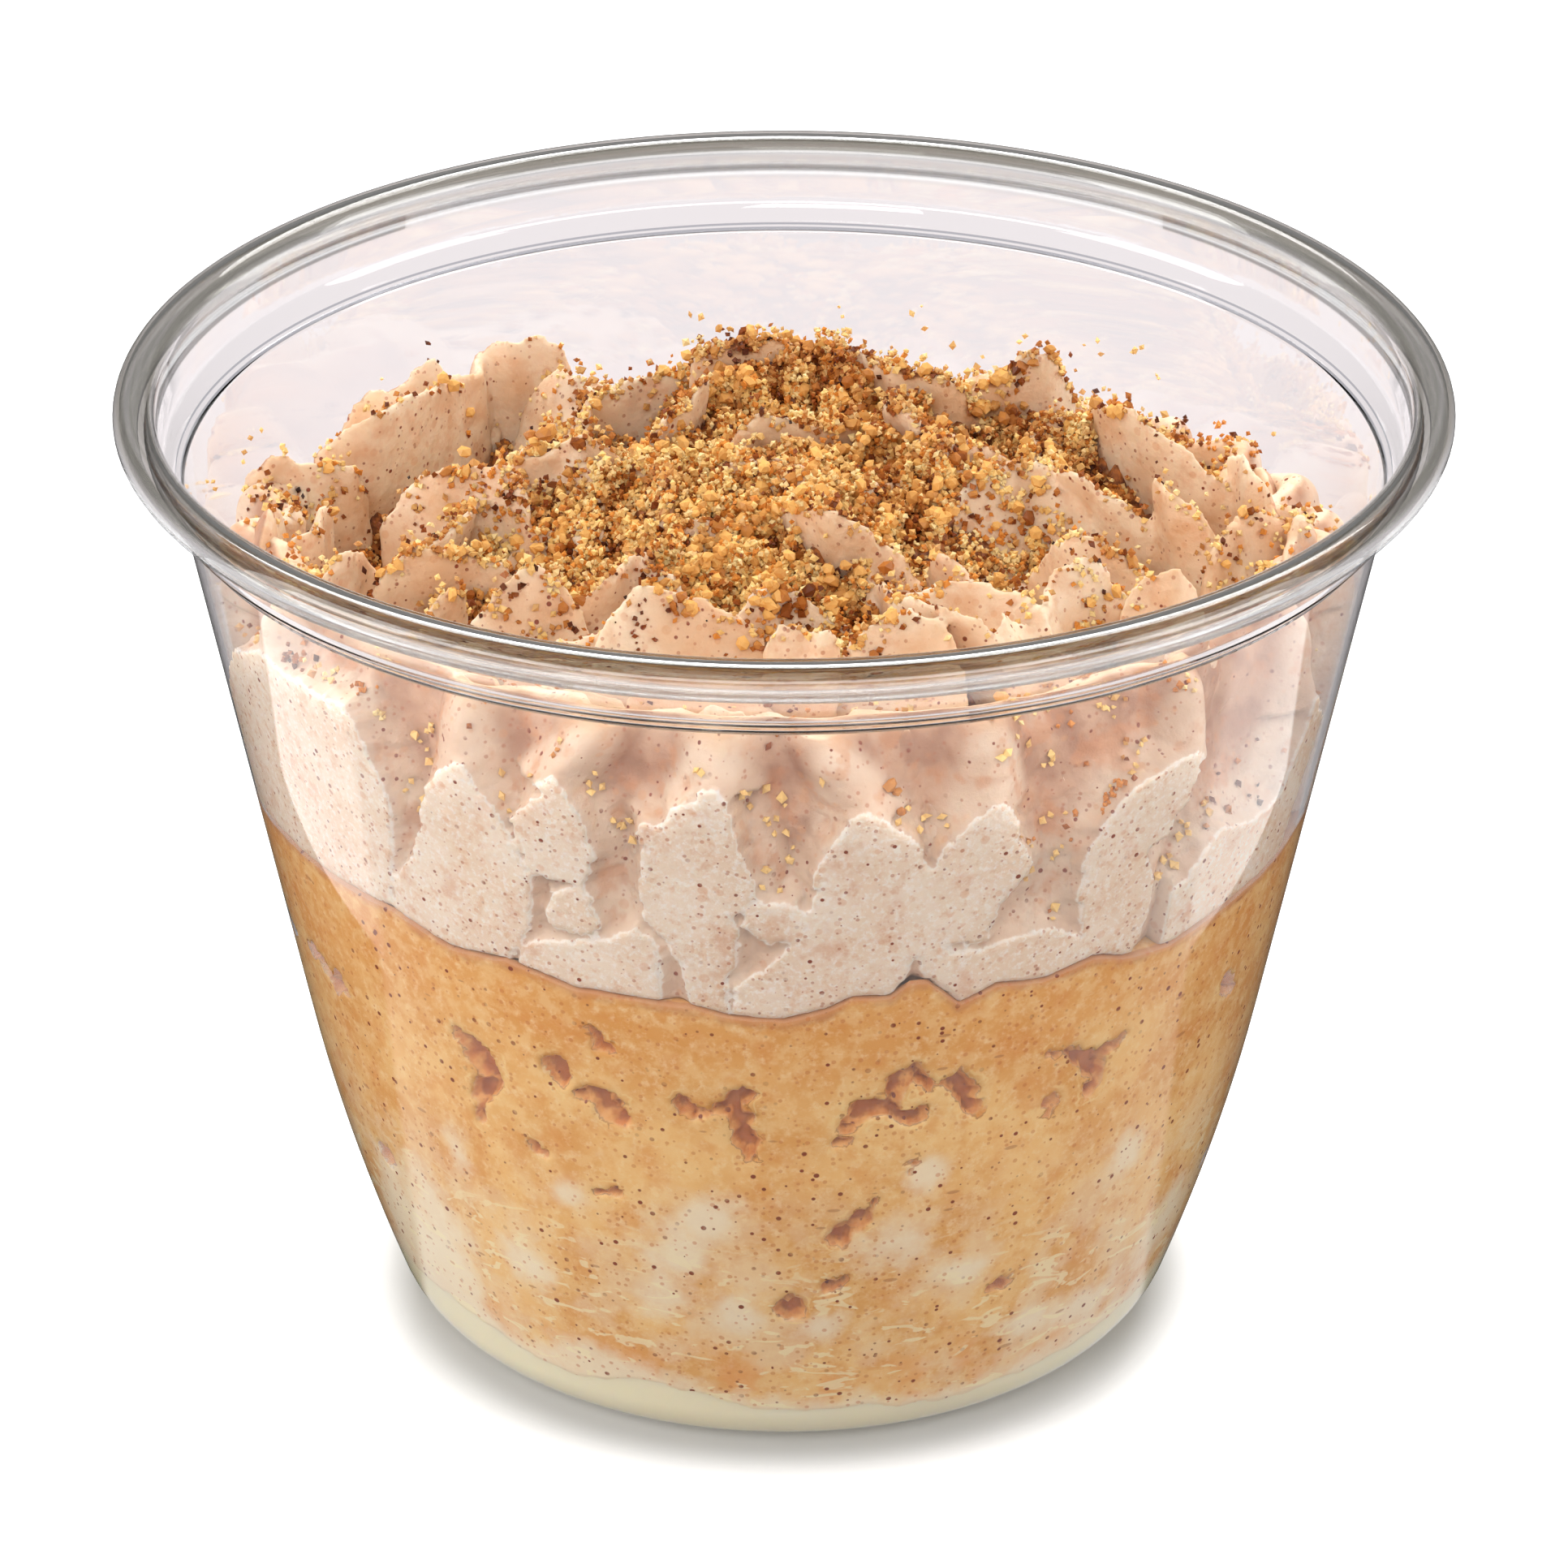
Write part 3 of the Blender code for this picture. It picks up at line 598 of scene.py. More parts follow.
# The cream: cinnamon whipped cream piped from a star tip. Petals are pressed against the wall in
# leaf-shaped patches, and curled blades are heaped over a mound in the middle. The piped lumps are
# joined, wrapped in one skin, roughened, and pressed flat where they meet the sheet.
MOUND = ((0, 60.5), (11, 60.0), (21, 57.8), (31, 54.0), (41, 49.0))
WALL_FOOT = 38.0
WALL_THICK = 6.0
WALL_SPREAD = 11.0
WALL_PRESS = 1.0
WALL_PITCH = 12.2
# Each petal: angle, height of its tip, width and slant
WALL_PETALS = (
    (-66, 64.0, 11.5, 6), (-53, 66.0, 12.5, 4), (-41, 64.0, 10.5, -8), (-31, 65.0, 12.5, -6),
    (-20.5, 66.0, 10.5, -4), (-8.5, 66.0, 12.0, 4), (6, 65.0, 13.5, 4), (18, 64.5, 12.0, 10),
    (28.5, 58.5, 9.5, 0), (40, 66.0, 10.0, 14), (49, 61.5, 10.5, 24), (62, 65.0, 11.5, 8),
)
BLADE_FOOT = 50.0
BLADE_THICK = 3.8
BLADE_CURL = 0.16
# Each blade: angle, distance from the axis, height of its tip, width, turn and lean
BLADES = (
    (-121, 36.5, 66.0, 15.5, -10, 14), (-131, 38.0, 64.8, 10.5, -18, 6), (-145, 36.5, 65.4, 8.5, -33, 4),
    (-137, 36.5, 64.5, 10.5, 30, 6), (-115, 27.0, 66.4, 13.0, 7, 26), (-93, 30.0, 66.0, 13.5, -28, 28),
    (-91, 24.5, 66.6, 12.0, 70, 14), (-99, 20.0, 66.8, 12.0, 60, 18), (-75, 27.0, 65.8, 12.5, 89, -12),
    (-124, 18.5, 67.2, 13.5, -62, 16), (-107, 38.0, 64.0, 10.5, -52, 8), (-90, 37.0, 64.2, 10.5, -25, 12),
    (-74, 35.0, 65.8, 10.5, -52, 10), (-43, 28.5, 66.6, 10.5, 57, 14), (119, 34.0, 66.0, 17.5, 10, 18),
    (107, 28.0, 66.8, 15.5, 13, 26), (111, 18.5, 67.2, 11.0, -56, 16), (84, 18.0, 67.0, 12.5, -73, 26),
    (76, 24.5, 66.4, 11.5, 82, 16), (62, 18.5, 66.8, 13.5, 71, 22), (89, 31.5, 66.2, 10.5, 24, 12),
    (59, 33.0, 67.2, 7.5, -47, 4), (53, 28.5, 66.8, 11.5, -4, 10), (79, 35.0, 65.6, 12.0, -37, 10),
    (100, 37.0, 64.4, 12.0, 6, 8), (41, 22.0, 67.4, 19.5, 83, 22), (25, 26.0, 67.0, 17.5, -50, 26),
    (13, 28.5, 66.6, 11.5, -40, 20), (-2, 26.5, 67.4, 6.5, 0, 4), (-18, 26.0, 67.0, 14.0, 33, 22),
    (54, 6.5, 68.0, 12.5, 80, 16), (0, 4.5, 66.8, 10.5, -34, 20), (163, 28.0, 67.0, 15.5, -12, 14),
    (-176, 29.0, 66.8, 11.0, 6, 12), (-160, 32.0, 63.5, 12.0, 5, 14), (-92, 13.5, 66.4, 11.0, 32, 18),
    (145, 31.0, 65.8, 11.0, 47, 10), (-57, 17.0, 66.2, 11.5, -64, 16), (-36, 12.0, 66.0, 12.0, 40, 18),
    (172, 16.0, 67.4, 13.0, 20, 16), (140, 19.0, 67.0, 12.0, -30, 14), (-150, 22.0, 66.4, 11.5, 35, 16),
    (-170, 8.0, 66.6, 10.5, -20, 12),
)
CREAM_GRAIN = 0.36
CREAM_FACES = 190000
RAGGED = 0.022


def turn_about(angle, axis):
    return np.array(Matrix.Rotation(math.radians(angle), 3, axis))


def out_from(angle, radius):
    """A place seen from above, from its angle from the front and its distance from the axis."""
    bearing = math.radians(angle)
    return radius * math.sin(bearing), -radius * math.cos(bearing)


def petal(angle, radius, foot, top, run, thick, turn, lean, slant, curl, bend, square, sharp, luck):
    """A petal of cream: a rounded outline, thin at its wavy top, curled sideways and bent in."""
    pick()
    bpy.ops.mesh.primitive_uv_sphere_add(segments=96, ring_count=24, radius=MM)
    piece = bpy.context.object
    across, up, through = points_of(piece).T * np.array([[1.0], [1.0], [-1.0]])
    reach = np.maximum(np.hypot(across, up), 1e-6)
    push = (np.abs(across) / reach) ** square + (np.abs(up) / reach) ** square
    push = np.maximum(push, 0.3) ** (-1.0 / square)
    first, second = luck.uniform(0, 6.3), luck.uniform(0, 6.3)
    side = np.arctan2(up, across)
    push = push * (1.0 + RAGGED * (np.sin(5.0 * side + first) + 0.7 * np.sin(11.0 * side + second)
                                   + 0.6 * np.sin(19.0 * side + 2.0 * first)) * (up > -0.3))
    across, up = across * push, up * push
    rise = 0.5 * (up + 1.0)
    body = np.sign(through) * np.abs(through) ** 0.75 * np.maximum(1.3 - sharp * rise, 0.25)
    wave = 0.35 * np.sin(across * 4.5 + first) + 0.2 * np.sin(across * 9.0 + second)
    lopsided = luck.uniform(-1.6, 1.6) * across * rise ** 2
    spots = np.stack([
        0.5 * run * across,
        0.5 * thick * body + curl * run * across ** 2 * rise - bend * rise ** 4 + wave * rise ** 2,
        (top - foot) * rise + 0.7 * np.sin(across * 2.7 + second) * rise ** 3 + lopsided], axis=1)
    tilt = turn_about(lean, "X") @ turn_about(-slant, "Y")
    facing = turn_about(angle + turn + 180.0, "Z")
    move_points(piece, spots @ (facing @ tilt).T + (*out_from(angle, radius), foot))
    return piece


def wrapped(name, pieces):
    """Join lumps and wrap them in one fine skin, a little rough."""
    pick(*pieces)
    bpy.ops.object.join()
    piece = bpy.context.object
    piece.name = piece.data.name = name
    fix(piece, "REMESH", mode="VOXEL", voxel_size=CREAM_GRAIN * MM)
    fix(piece, "SMOOTH", factor=0.5, iterations=2)
    for size, strength in ((4.0, 0.55), (1.1, 0.22)):
        clouds = bpy.data.textures.new(f"{name}_{size}", "CLOUDS")
        clouds.noise_scale = size * MM
        clouds.noise_depth = 2
        fix(piece, "DISPLACE", texture=clouds, texture_coords="LOCAL", strength=strength * MM,
            mid_level=0.5)
    return piece


# How high the cream stands at the wall: lower at the back
BRIM = ((-180, 58.5), (-140, 59.0), (-110, 61.0), (-85, 64.0), (-60, 65.5), (0, 66.0), (60, 65.5),
        (85, 64.0), (110, 61.0), (140, 59.0), (180, 58.5))
luck = random.Random(11)
mound = spun("mound", [*MOUND, (41.0, 41.6), (0.0, 41.6)], 96)
lumps = [mound]


def wall_petal(angle, tip, width, slant):
    """Add a petal that is pressed against the wall."""
    middle = wall_inside(WALL_FOOT) - 0.3 - 0.5 * WALL_THICK + WALL_PRESS
    lumps.append(petal(angle, middle, WALL_FOOT, tip, width, WALL_THICK, 0.0, -WALL_SPREAD, slant,
                       -0.05, 3.0, 1.9, 0.8, luck))


for angle, tip, width, slant in WALL_PETALS:
    wall_petal(angle, tip, width, slant)
angle = WALL_PETALS[-1][0] + WALL_PITCH
while angle < 360.0 + WALL_PETALS[0][0] - 0.5 * WALL_PITCH:
    wall_petal(angle, along(BRIM, angle) + luck.uniform(-1, 1), luck.uniform(9.5, 12.0),
               luck.uniform(-10, 10))
    angle += WALL_PITCH * luck.uniform(0.9, 1.1)
rim_cream = wrapped("cream_at_the_wall", lumps)

lumps = []
taken = []
for angle, radius, top, run, turn, lean in BLADES:
    taken.append(Vector(out_from(angle, radius)))
    lumps.append(petal(angle, radius, BLADE_FOOT, top, run, BLADE_THICK, turn, lean, luck.uniform(-9, 9),
                       BLADE_CURL, 0.0, luck.uniform(1.9, 2.7), 1.0, luck))
# Between the blades that are placed, more of them on a sunflower's spiral
SPIRAL = 84
for place in range(SPIRAL):
    radius, angle = 35.0 * math.sqrt((place + 0.5) / SPIRAL), place * 137.5
    here = Vector(out_from(angle, radius))
    if min((here - other).length for other in taken) > 6.0:
        lumps.append(petal(angle, radius, BLADE_FOOT, luck.uniform(63.8, 66.4), luck.uniform(9.5, 13.0),
                           BLADE_THICK, luck.uniform(-70, 70), luck.uniform(8, 28), luck.uniform(-12, 12),
                           BLADE_CURL, 0.0, luck.uniform(1.7, 2.4), 1.0, luck))
top_cream = wrapped("piped_cream_blades", lumps)

# Where the cream lies flat on the wall: outlines as angle and height
LEAVES = [
    ((-68, 60), (-60, 63), (-52.8, 62.4), (-46.0, 62.5), (-44.2, 60.3), (-42.6, 57.3), (-41.8, 54.8),
     (-42.7, 51.0), (-44.3, 47.6), (-44.8, 44.0), (-53.7, 43.0), (-65.1, 42.9), (-76.4, 43), (-76, 54)),
    ((-32.9, 61.0), (-31.4, 61.0), (-29.3, 58.5), (-27.8, 57.0), (-26.9, 55.0), (-25.9, 53.2),
     (-25.8, 51.3), (-26.3, 48.8), (-27.3, 47.0), (-28.8, 45.3), (-30.4, 43.5), (-34.2, 42.7),
     (-41.7, 43), (-45.0, 43.0), (-43.9, 47.7), (-39.6, 51.8), (-38.2, 54.9), (-36.9, 57.8), (-35.1, 59.6)),
    ((-27.5, 57.3), (-25.8, 58.4), (-23.7, 59.9), (-22.3, 61.7), (-21.4, 61.4), (-19.9, 58.9),
     (-18.7, 56.9), (-18.5, 55.6), (-19.0, 53.9), (-20.6, 52.7), (-23.1, 52.5), (-25.2, 53.0), (-26.7, 54.9)),
    ((-23.7, 51.6), (-20.6, 52.5), (-19.3, 51.9), (-18.8, 49.9), (-19.6, 48.0), (-23.9, 47.2),
     (-28.0, 46.2), (-28.7, 43.0), (-20.2, 42.4), (-14.5, 41.6), (-12.7, 43.5), (-12.5, 48.4),
     (-14.8, 49.4), (-17.8, 48.3), (-23.8, 48.2), (-24.5, 49.9)),
    ((-6.4, 62.3), (-5.4, 61.0), (-4.6, 58.7), (-3.8, 56.0), (-2.8, 53.6), (-3.7, 52.2), (-4.6, 50.9),
     (-4.4, 49.5), (-4.6, 47.5), (-5.7, 46.2), (-5.8, 41.5), (-9.4, 41.5), (-9.8, 43.9), (-10.6, 46.8),
     (-12.1, 48.7), (-14.0, 50.5), (-14.2, 52.9), (-13.7, 56.5), (-13.9, 58.5), (-11.8, 58.9),
     (-10.6, 60.3), (-8.6, 61.4)),
    ((7.7, 60.3), (6.1, 59.4), (4.4, 57.5), (3.1, 55.2), (3.0, 53.2), (2.5, 51.2), (1.4, 49.2),
     (-1.1, 47.2), (-5.3, 44.8), (-5.0, 41), (0.1, 40.8), (6.0, 41), (10.7, 43.0), (12.9, 46.4),
     (14.2, 47.9), (14.9, 50.4), (14.5, 54.5), (13.5, 56.1), (11.6, 57.9), (9.7, 59.6)),
    ((-2.6, 52.6), (1.2, 52.6), (2.5, 51.2), (1.2, 49.0), (-1.5, 48.8), (-4.2, 50.4), (-4.1, 52.0)),
    ((21.8, 59.5), (22.8, 57.6), (23.3, 56.0), (25.0, 53.7), (24.2, 52.1), (23.1, 51.8), (21.7, 50.3),
     (21.0, 47.7), (17.1, 48.0), (14.0, 47.2), (13.3, 49.7), (13.0, 53.1), (14.2, 54.3), (15.7, 56.6),
     (17.4, 57.9), (19.5, 59.2), (20.7, 59.6)),
    ((13.5, 47.4), (14.5, 45.1), (16.3, 42.3), (18.4, 41.1), (22.5, 41.1), (28.2, 42), (35.0, 42),
     (33.2, 45.6), (29.8, 47.0), (26.1, 47.7), (22.7, 47.2), (20.0, 46.9), (15.8, 47.7)),
    ((44.0, 59.2), (44.2, 57.4), (43.4, 55.5), (41.3, 53.0), (39.0, 51.8), (40.3, 49.3), (40.7, 46.3),
     (40.0, 44.0), (38.7, 41.8), (35.1, 42), (32.0, 46.8), (30.9, 49.9), (30.8, 53.3), (32.7, 55.7),
     (34.6, 57.7), (37.5, 58.7), (40.5, 59.2)),
    ((56.2, 49.7), (50.1, 50.9), (48.1, 49.8), (46.2, 47.7), (43.7, 47.3), (42.1, 45.5), (41.0, 41),
     (50, 41), (57.6, 42.0), (66, 44), (70, 54), (66, 57), (61.4, 50.0)),
]
# A leaf at the back: shares of its half width and of its height
BACK_LEAF = ((0.1, 1.0), (0.45, 0.86), (0.8, 0.66), (1.0, 0.42), (1.1, 0.2), (1.15, 0.0), (-1.15, 0.0),
             (-1.05, 0.22), (-1.0, 0.45), (-0.7, 0.68), (-0.35, 0.88))
luck = random.Random(31)
angle = 80.0
while angle < 281.0:
    half, tip = luck.uniform(4.5, 6.2), along(BRIM, angle) - luck.uniform(3.5, 6.0)
    low, tilt = luck.uniform(42, 42.5), luck.uniform(-2.0, 3.0)
    LEAVES.append(tuple((angle + share * half + tilt * (rise - 0.3), low + rise * (tip - low))
                        for share, rise in BACK_LEAF))
    angle += luck.uniform(11.0, 13.5)
# How far the ridge above a leaf leans sideways, by the angle of the leaf's tip
RIDGE_LEAN = {-22.3: 0.8, 7.7: -0.6}
# Millimetres round the wall for each degree
ARC = 0.716
RECESS = 2.6


def beside(angles, middle):
    """How far angles lie from another, measured round the wall in millimetres."""
    return turned_from(angles, middle) * ARC


def wall_gap(places, angles):
    """How far the cream stays off the wall: nothing inside a leaf, more and more outside it."""
    gap = np.full(len(places), 5.0)
    ragged = 0.34 * wobble(places, 1.4, 3.0) + 0.3 * wobble(places, 0.6, 5.0)
    for leaf in LEAVES:
        tip_angle, tip = max(leaf, key=lambda corner: corner[1])
        across = beside(angles, tip_angle)
        close = np.abs(across) < 16.0
        x, z = across[close], places[close, 2]
        inner, nearest = np.zeros(len(x), bool), np.full(len(x), 99.0)
        outline = [(beside(angle, tip_angle), height) for angle, height in leaf]
        for (ax, az), (bx, bz) in zip(outline, outline[1:] + outline[:1]):
            run, rise = bx - ax, bz - az
            share = np.clip(((x - ax) * run + (z - az) * rise) / (run ** 2 + rise ** 2), 0.0, 1.0)
            nearest = np.minimum(nearest, np.hypot(x - ax - share * run, z - az - share * rise))
            if az != bz:
                inner ^= ((az > z) != (bz > z)) & (x < ax + (z - az) * run / rise)
        away = np.where(inner, -nearest, nearest) + ragged[close]
        deeper = RECESS * (0.2 + 0.8 * np.clip((z - 48.0) / 9.0, 0.0, 1.0))
        deeper = deeper * (1.0 - np.exp(-np.maximum(away, 0.0) / 0.8))
        here = np.where(away < 0.0, 0.0, 0.15 + deeper + 0.25 * away)
        if tip > 52.0:
            leaning = x - RIDGE_LEAN.get(tip_angle, 0.0) * (z - tip)
            ridge = 0.3 + 0.3 * (z - tip) + 1.2 * (np.hypot(leaning, 1.4) - 1.4)
            here = np.minimum(here, np.where(z > tip - 1.0, ridge, 5.0))
        gap[close] = np.minimum(gap[close], here)
    return gap


def crown(angles):
    """How high the leaves reach round the cup: from there on the cream leans away from the wall."""
    round_the_cup = np.arange(-180.0, 180.0, 0.5)
    top = np.full(len(round_the_cup), 50.0)
    for angle, height in sum(LEAVES, ()):
        top = np.maximum(top, height - 0.7 * np.abs(beside(round_the_cup, angle)))
    for _ in range(8):
        top = (np.roll(top, 1) + 2.0 * top + np.roll(top, -1)) / 4.0
    return np.interp(angles, round_the_cup, top, period=360.0)


def under_edge(places, angles):
    """The cream's lower edge is tucked in behind the sponge."""
    low_edge = sponge_top(places, angles)
    tuck = np.clip((low_edge + 0.45 - places[:, 2]) / 0.45, 0.0, 1.0)
    return 0.5 * tuck ** 2 + np.where(places[:, 2] < low_edge - 0.1, 0.6, 0.0)


COAT_FOOT, COAT_TOP = 41.7, 66.0
SHOULDER = 2.2
coat = spun("cream_on_the_wall", [(0.0, 50.0), (33.0, 50.0), (37.0, 50.0)]
            + on_wall(COAT_FOOT, COAT_TOP, 0.3, REACH) + [(33.0, COAT_FOOT), (0.0, COAT_FOOT)], 864)
spots = points_of(coat)
angles, radii = round_cup(spots)
skin = radii > inside(spots[:, 2]) - 0.5
edge, turned = spots[skin], angles[skin]
top = 0.65 * along(BRIM, turned) + 0.35 * (crown(turned) + 5.0)
edge[:, 2] = COAT_FOOT + (edge[:, 2] - COAT_FOOT) * (top - COAT_FOOT) / (COAT_TOP - COAT_FOOT)
over = 2.4 * np.clip((edge[:, 2] - top + SHOULDER) / SHOULDER, 0.0, 1.0)
edge[:, 2] = np.where(over > 0.0, top - SHOULDER + SHOULDER * np.sin(over), edge[:, 2])
gap = wall_gap(edge, turned)
relief = np.clip(gap, 0.0, 1.0) * (0.35 * wobble(edge, 3.0, 2.0) + 0.1 * wobble(edge, 0.9, 8.0))
around = inside(edge[:, 2]) + REACH - gap - under_edge(edge, turned) - np.abs(relief)
around -= 0.8 * SHOULDER * (1.0 - np.cos(over))
edge[:, :2] *= (around / radii[skin])[:, None]
spots[skin] = edge
move_points(coat, spots)
off_wall = np.full(len(spots), 5.0)
off_wall[skin] = gap + 0.8 * SHOULDER * (1.0 - np.cos(over))
write_mark(coat, "off_wall", off_wall)

for piece in (rim_cream, top_cream):
    spots = points_of(piece)
    angles, radii = round_cup(spots)
    limit = inside(spots[:, 2]) + REACH
    edge = radii > limit - 8.0
    limit[edge] -= wall_gap(spots[edge], angles[edge]) + 0.15
    limit[edge] -= under_edge(spots[edge], angles[edge])
    over = radii > limit
    spots[over, :2] *= (limit[over] / radii[over])[:, None]
    move_points(piece, spots)
    count = sum(len(face.vertices) - 2 for face in piece.data.polygons)
    if count > CREAM_FACES:
        fix(piece, "DECIMATE", ratio=CREAM_FACES / count)

for piece in (coat, rim_cream, top_cream):
    pick(piece)
    bpy.ops.object.shade_smooth()
    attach(piece, "root")
    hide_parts("cinnamon_cream")


# The crumbs: golden cinnamon sugar and biscuit crumbs, strewn thickly over the middle, caught in the
# troughs and clumped, with a few stuck to the wall. Loose grains lie on cream that is stained by them.
# Each heap: its middle, its half widths, and how thickly the crumbs lie
STREWN = (
    (3, 27, 9, 5, 1.0), (3, 14, 10, 8, 1.3), (-9, 2, 8, 7, 1.2), (-7, -8, 8, 5, 1.0), (-25, -12, 4, 4, 0.9),
    (9, 3, 4, 6, 1.0), (23, -9, 3, 7, 0.6), (25, 19, 5, 4, 0.8), (3, -16, 4, 5, 0.8), (-16, 14, 5, 5, 0.5),
    (14, 20, 5, 4, 0.8), (-35, 8, 3, 5, 0.35), (0, 0, 30, 30, 0.08), (33, -4, 4, 5, 0.3),
)


def strewn(x, y):
    """How thickly crumbs lie at a place seen from above."""
    total = np.zeros(np.shape(x))
    for cx, cy, sx, sy, much in STREWN:
        total = total + much * np.exp(-0.5 * (((x - cx) / sx) ** 2 + ((y - cy) / sy) ** 2))
    return total


def skin_of(*pieces):
    """The surfaces of pieces, to drop things on."""
    corners, faces, start = [], [], 0
    for piece in pieces:
        corners += points_of(piece).tolist()
        faces += [[start + corner for corner in face.vertices] for face in piece.data.polygons]
        start = len(corners)
    return BVHTree.FromPolygons(corners, faces)


cream_skin = skin_of(coat, rim_cream, top_cream)
DOWN = Vector((0, 0, -1))
ABOVE = 80.0
HALF_SPAN = 42
SPAN = 2 * HALF_SPAN + 1
relief = np.full((SPAN, SPAN), 50.0)
for row in range(SPAN):
    for column in range(SPAN):
        x, y = column - HALF_SPAN, row - HALF_SPAN
        if math.hypot(x, y) < HALF_SPAN - 0.5:
            spot = cream_skin.ray_cast(Vector((x, y, ABOVE)), DOWN)[0]
            if spot:
                relief[row, column] = spot[2]
blurred = relief.copy()
for _ in range(16):
    padded = np.pad(blurred, 1, mode="edge")
    blurred = (padded[1:-1, 1:-1] * 2 + padded[:-2, 1:-1] + padded[2:, 1:-1] + padded[1:-1, :-2]
               + padded[1:-1, 2:]) / 6.0
trough = np.clip(0.5 + (blurred - relief) / 3.0, 0.15, 1.5)


def seen_from_above(grid, x, y):
    """Values of a grid of one millimetre, read between its points."""
    x, y = np.clip(x + HALF_SPAN, 0, SPAN - 1.01), np.clip(y + HALF_SPAN, 0, SPAN - 1.01)
    column, row = x.astype(int), y.astype(int)
    right, down = x - column, y - row
    return ((grid[row, column] * (1 - right) + grid[row, column + 1] * right) * (1 - down)
            + (grid[row + 1, column] * (1 - right) + grid[row + 1, column + 1] * right) * down)


def clumped(x, y):
    """The clumps that damp crumbs stick together in: nothing in the creases, about one on top."""
    return min(1.0, 2.6 * abs(noise.noise((x / 2.1, y / 2.1, 0.7))))


DRIFT_RADIUS, DRIFT_FOOT, DRIFT_TOP, DRIFT_SIDES = 38.0, 50.0, 60.0, 520
drift = spun("drifted_crumbs", [(0.0, DRIFT_FOOT), (DRIFT_RADIUS, DRIFT_FOOT)]
             + [(DRIFT_RADIUS - 0.38 * step, DRIFT_TOP) for step in range(100)] + [(0.0, DRIFT_TOP)],
             DRIFT_SIDES)
spots = points_of(drift)
loose = spots[:, 2] > DRIFT_TOP - 5.0
x, y = spots[loose, 0], spots[loose, 1]
thick = strewn(x, y)
clumps = np.array([clumped(*place) for place in zip(x.tolist(), y.tolist())])
spots[loose, 2] = (seen_from_above(blurred, x, y) - 3.9 + 4.0 * np.clip(thick, 0.0, 1.15) + 1.6 * clumps
                   + 4.4 * np.exp(-(x / 9.0) ** 2 - ((y - 26.5) / 6.0) ** 2)
                   + 0.8 * wobble(spots[loose], 3.0) + 0.35 * wobble(spots[loose], 0.9, 6.0))
move_points(drift, spots)
pick(drift)
bpy.ops.object.shade_smooth()
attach(drift, "root")
drift_skin = skin_of(drift)

for piece in (coat, rim_cream, top_cream, drift):
    spots = points_of(piece)
    normals = np.empty(3 * len(spots), dtype=np.float32)
    piece.data.vertex_normals.foreach_get("vector", normals)
    normals = normals.reshape(-1, 3)
    lying = np.clip(normals[:, 2] * 1.5, 0.0, 1.0)
    much = strewn(spots[:, 0], spots[:, 1]) * seen_from_above(trough, spots[:, 0], spots[:, 1])
    outward = (normals[:, :2] * spots[:, :2]).sum(axis=1) / np.maximum(round_cup(spots)[1], 1.0)
    write_mark(piece, "open", 1.0 - np.clip(1.6 * outward, 0.0, 1.0))
    if piece != coat:
        much = np.full(len(spots), 1.2) if piece == drift else much * (0.25 + 0.75 * lying)
        write_mark(piece, "crumbs", much)
        write_mark(piece, "off_wall", inside(spots[:, 2]) - round_cup(spots)[1])

creamy = Finish("cinnamon_whipped_cream", Roughness=0.5, Subsurface_Weight=0.2,
                Subsurface_Radius=(0.003, 0.0018, 0.001), Subsurface_Scale=0.4)
off_wall = creamy.mark("off_wall") + 0.35 * (creamy.noise(0.5, 3.0, 0.7) - 0.5)
height = creamy.axis("Z")
glints = creamy.noise(0.45, 3.0, 0.7).ease(0.48, 0.66)
crumbly = creamy.noise(1.0, 3.0, 0.7, shift=(2, 2, 7)).ease(0.52, 0.7)
smear = creamy.noise(2.8, 4.0, 0.6, shift=(7, 7, 1)).ease(0.54, 0.72)
spiced = creamy.noise(1.8, 4.0, 0.6, shift=(3, 9, 2)).ease(0.46, 0.66)
pale = creamy.coated(
    creamy.mottled(5.0, 3.0, (242, 218, 194), (248, 230, 211)), (glints * 0.8, (254, 245, 236)),
    (crumbly * 0.6, (228, 184, 148)), (smear * 0.5, (222, 168, 130)))
# Painted shade: cream that stands off the wall is darker, hazed a little just off it and much darker in the
# deep recesses (shady). A painted highlight runs along the edges of the leaves.
off_wall_haze_and_shade = creamy.mottled(4.0, 2.0, (222, 188, 160), (234, 206, 180))
shady = creamy.mottled(3.0, 2.0, (184, 136, 108), (212, 168, 138))
open_air = creamy.coated(creamy.mottled(6.0, 3.0, (238, 198, 160), (250, 224, 194)),
                         (spiced * 0.4, (226, 168, 122)))
painted_edge_highlight = 1.0 - ((off_wall - 0.12).size() / 0.12).ease(0.3, 1.0)
tone = creamy.coated(creamy.mix(off_wall.ease(0.05, 0.35), pale, off_wall_haze_and_shade), (painted_edge_highlight * 0.5, (255, 246, 234)))
dusted = off_wall.ease(0.4, 1.2) * creamy.noise(2.6, 3.0, 0.6, shift=(1, 8, 5)).ease(0.5, 0.66)
tone = creamy.coated(creamy.mix(off_wall.ease(1.8, 3.5), tone, shady), (dusted * 0.5, (212, 142, 94)))
open_place = height.ease(64.0, 66.5).most(off_wall.ease(5.5, 7.5)).most(creamy.mark("open").ease(0.2, 0.8))
sugared = creamy.mark("crumbs")
tone = creamy.coated(creamy.mix(open_place, tone, open_air), (sugared.ease(0.0, 1.0) * 0.35, (228, 168, 108)))
stain = (sugared + 0.9 * (creamy.noise(2.2, 4.0, 0.6) - 0.5)).ease(0.45, 0.95)
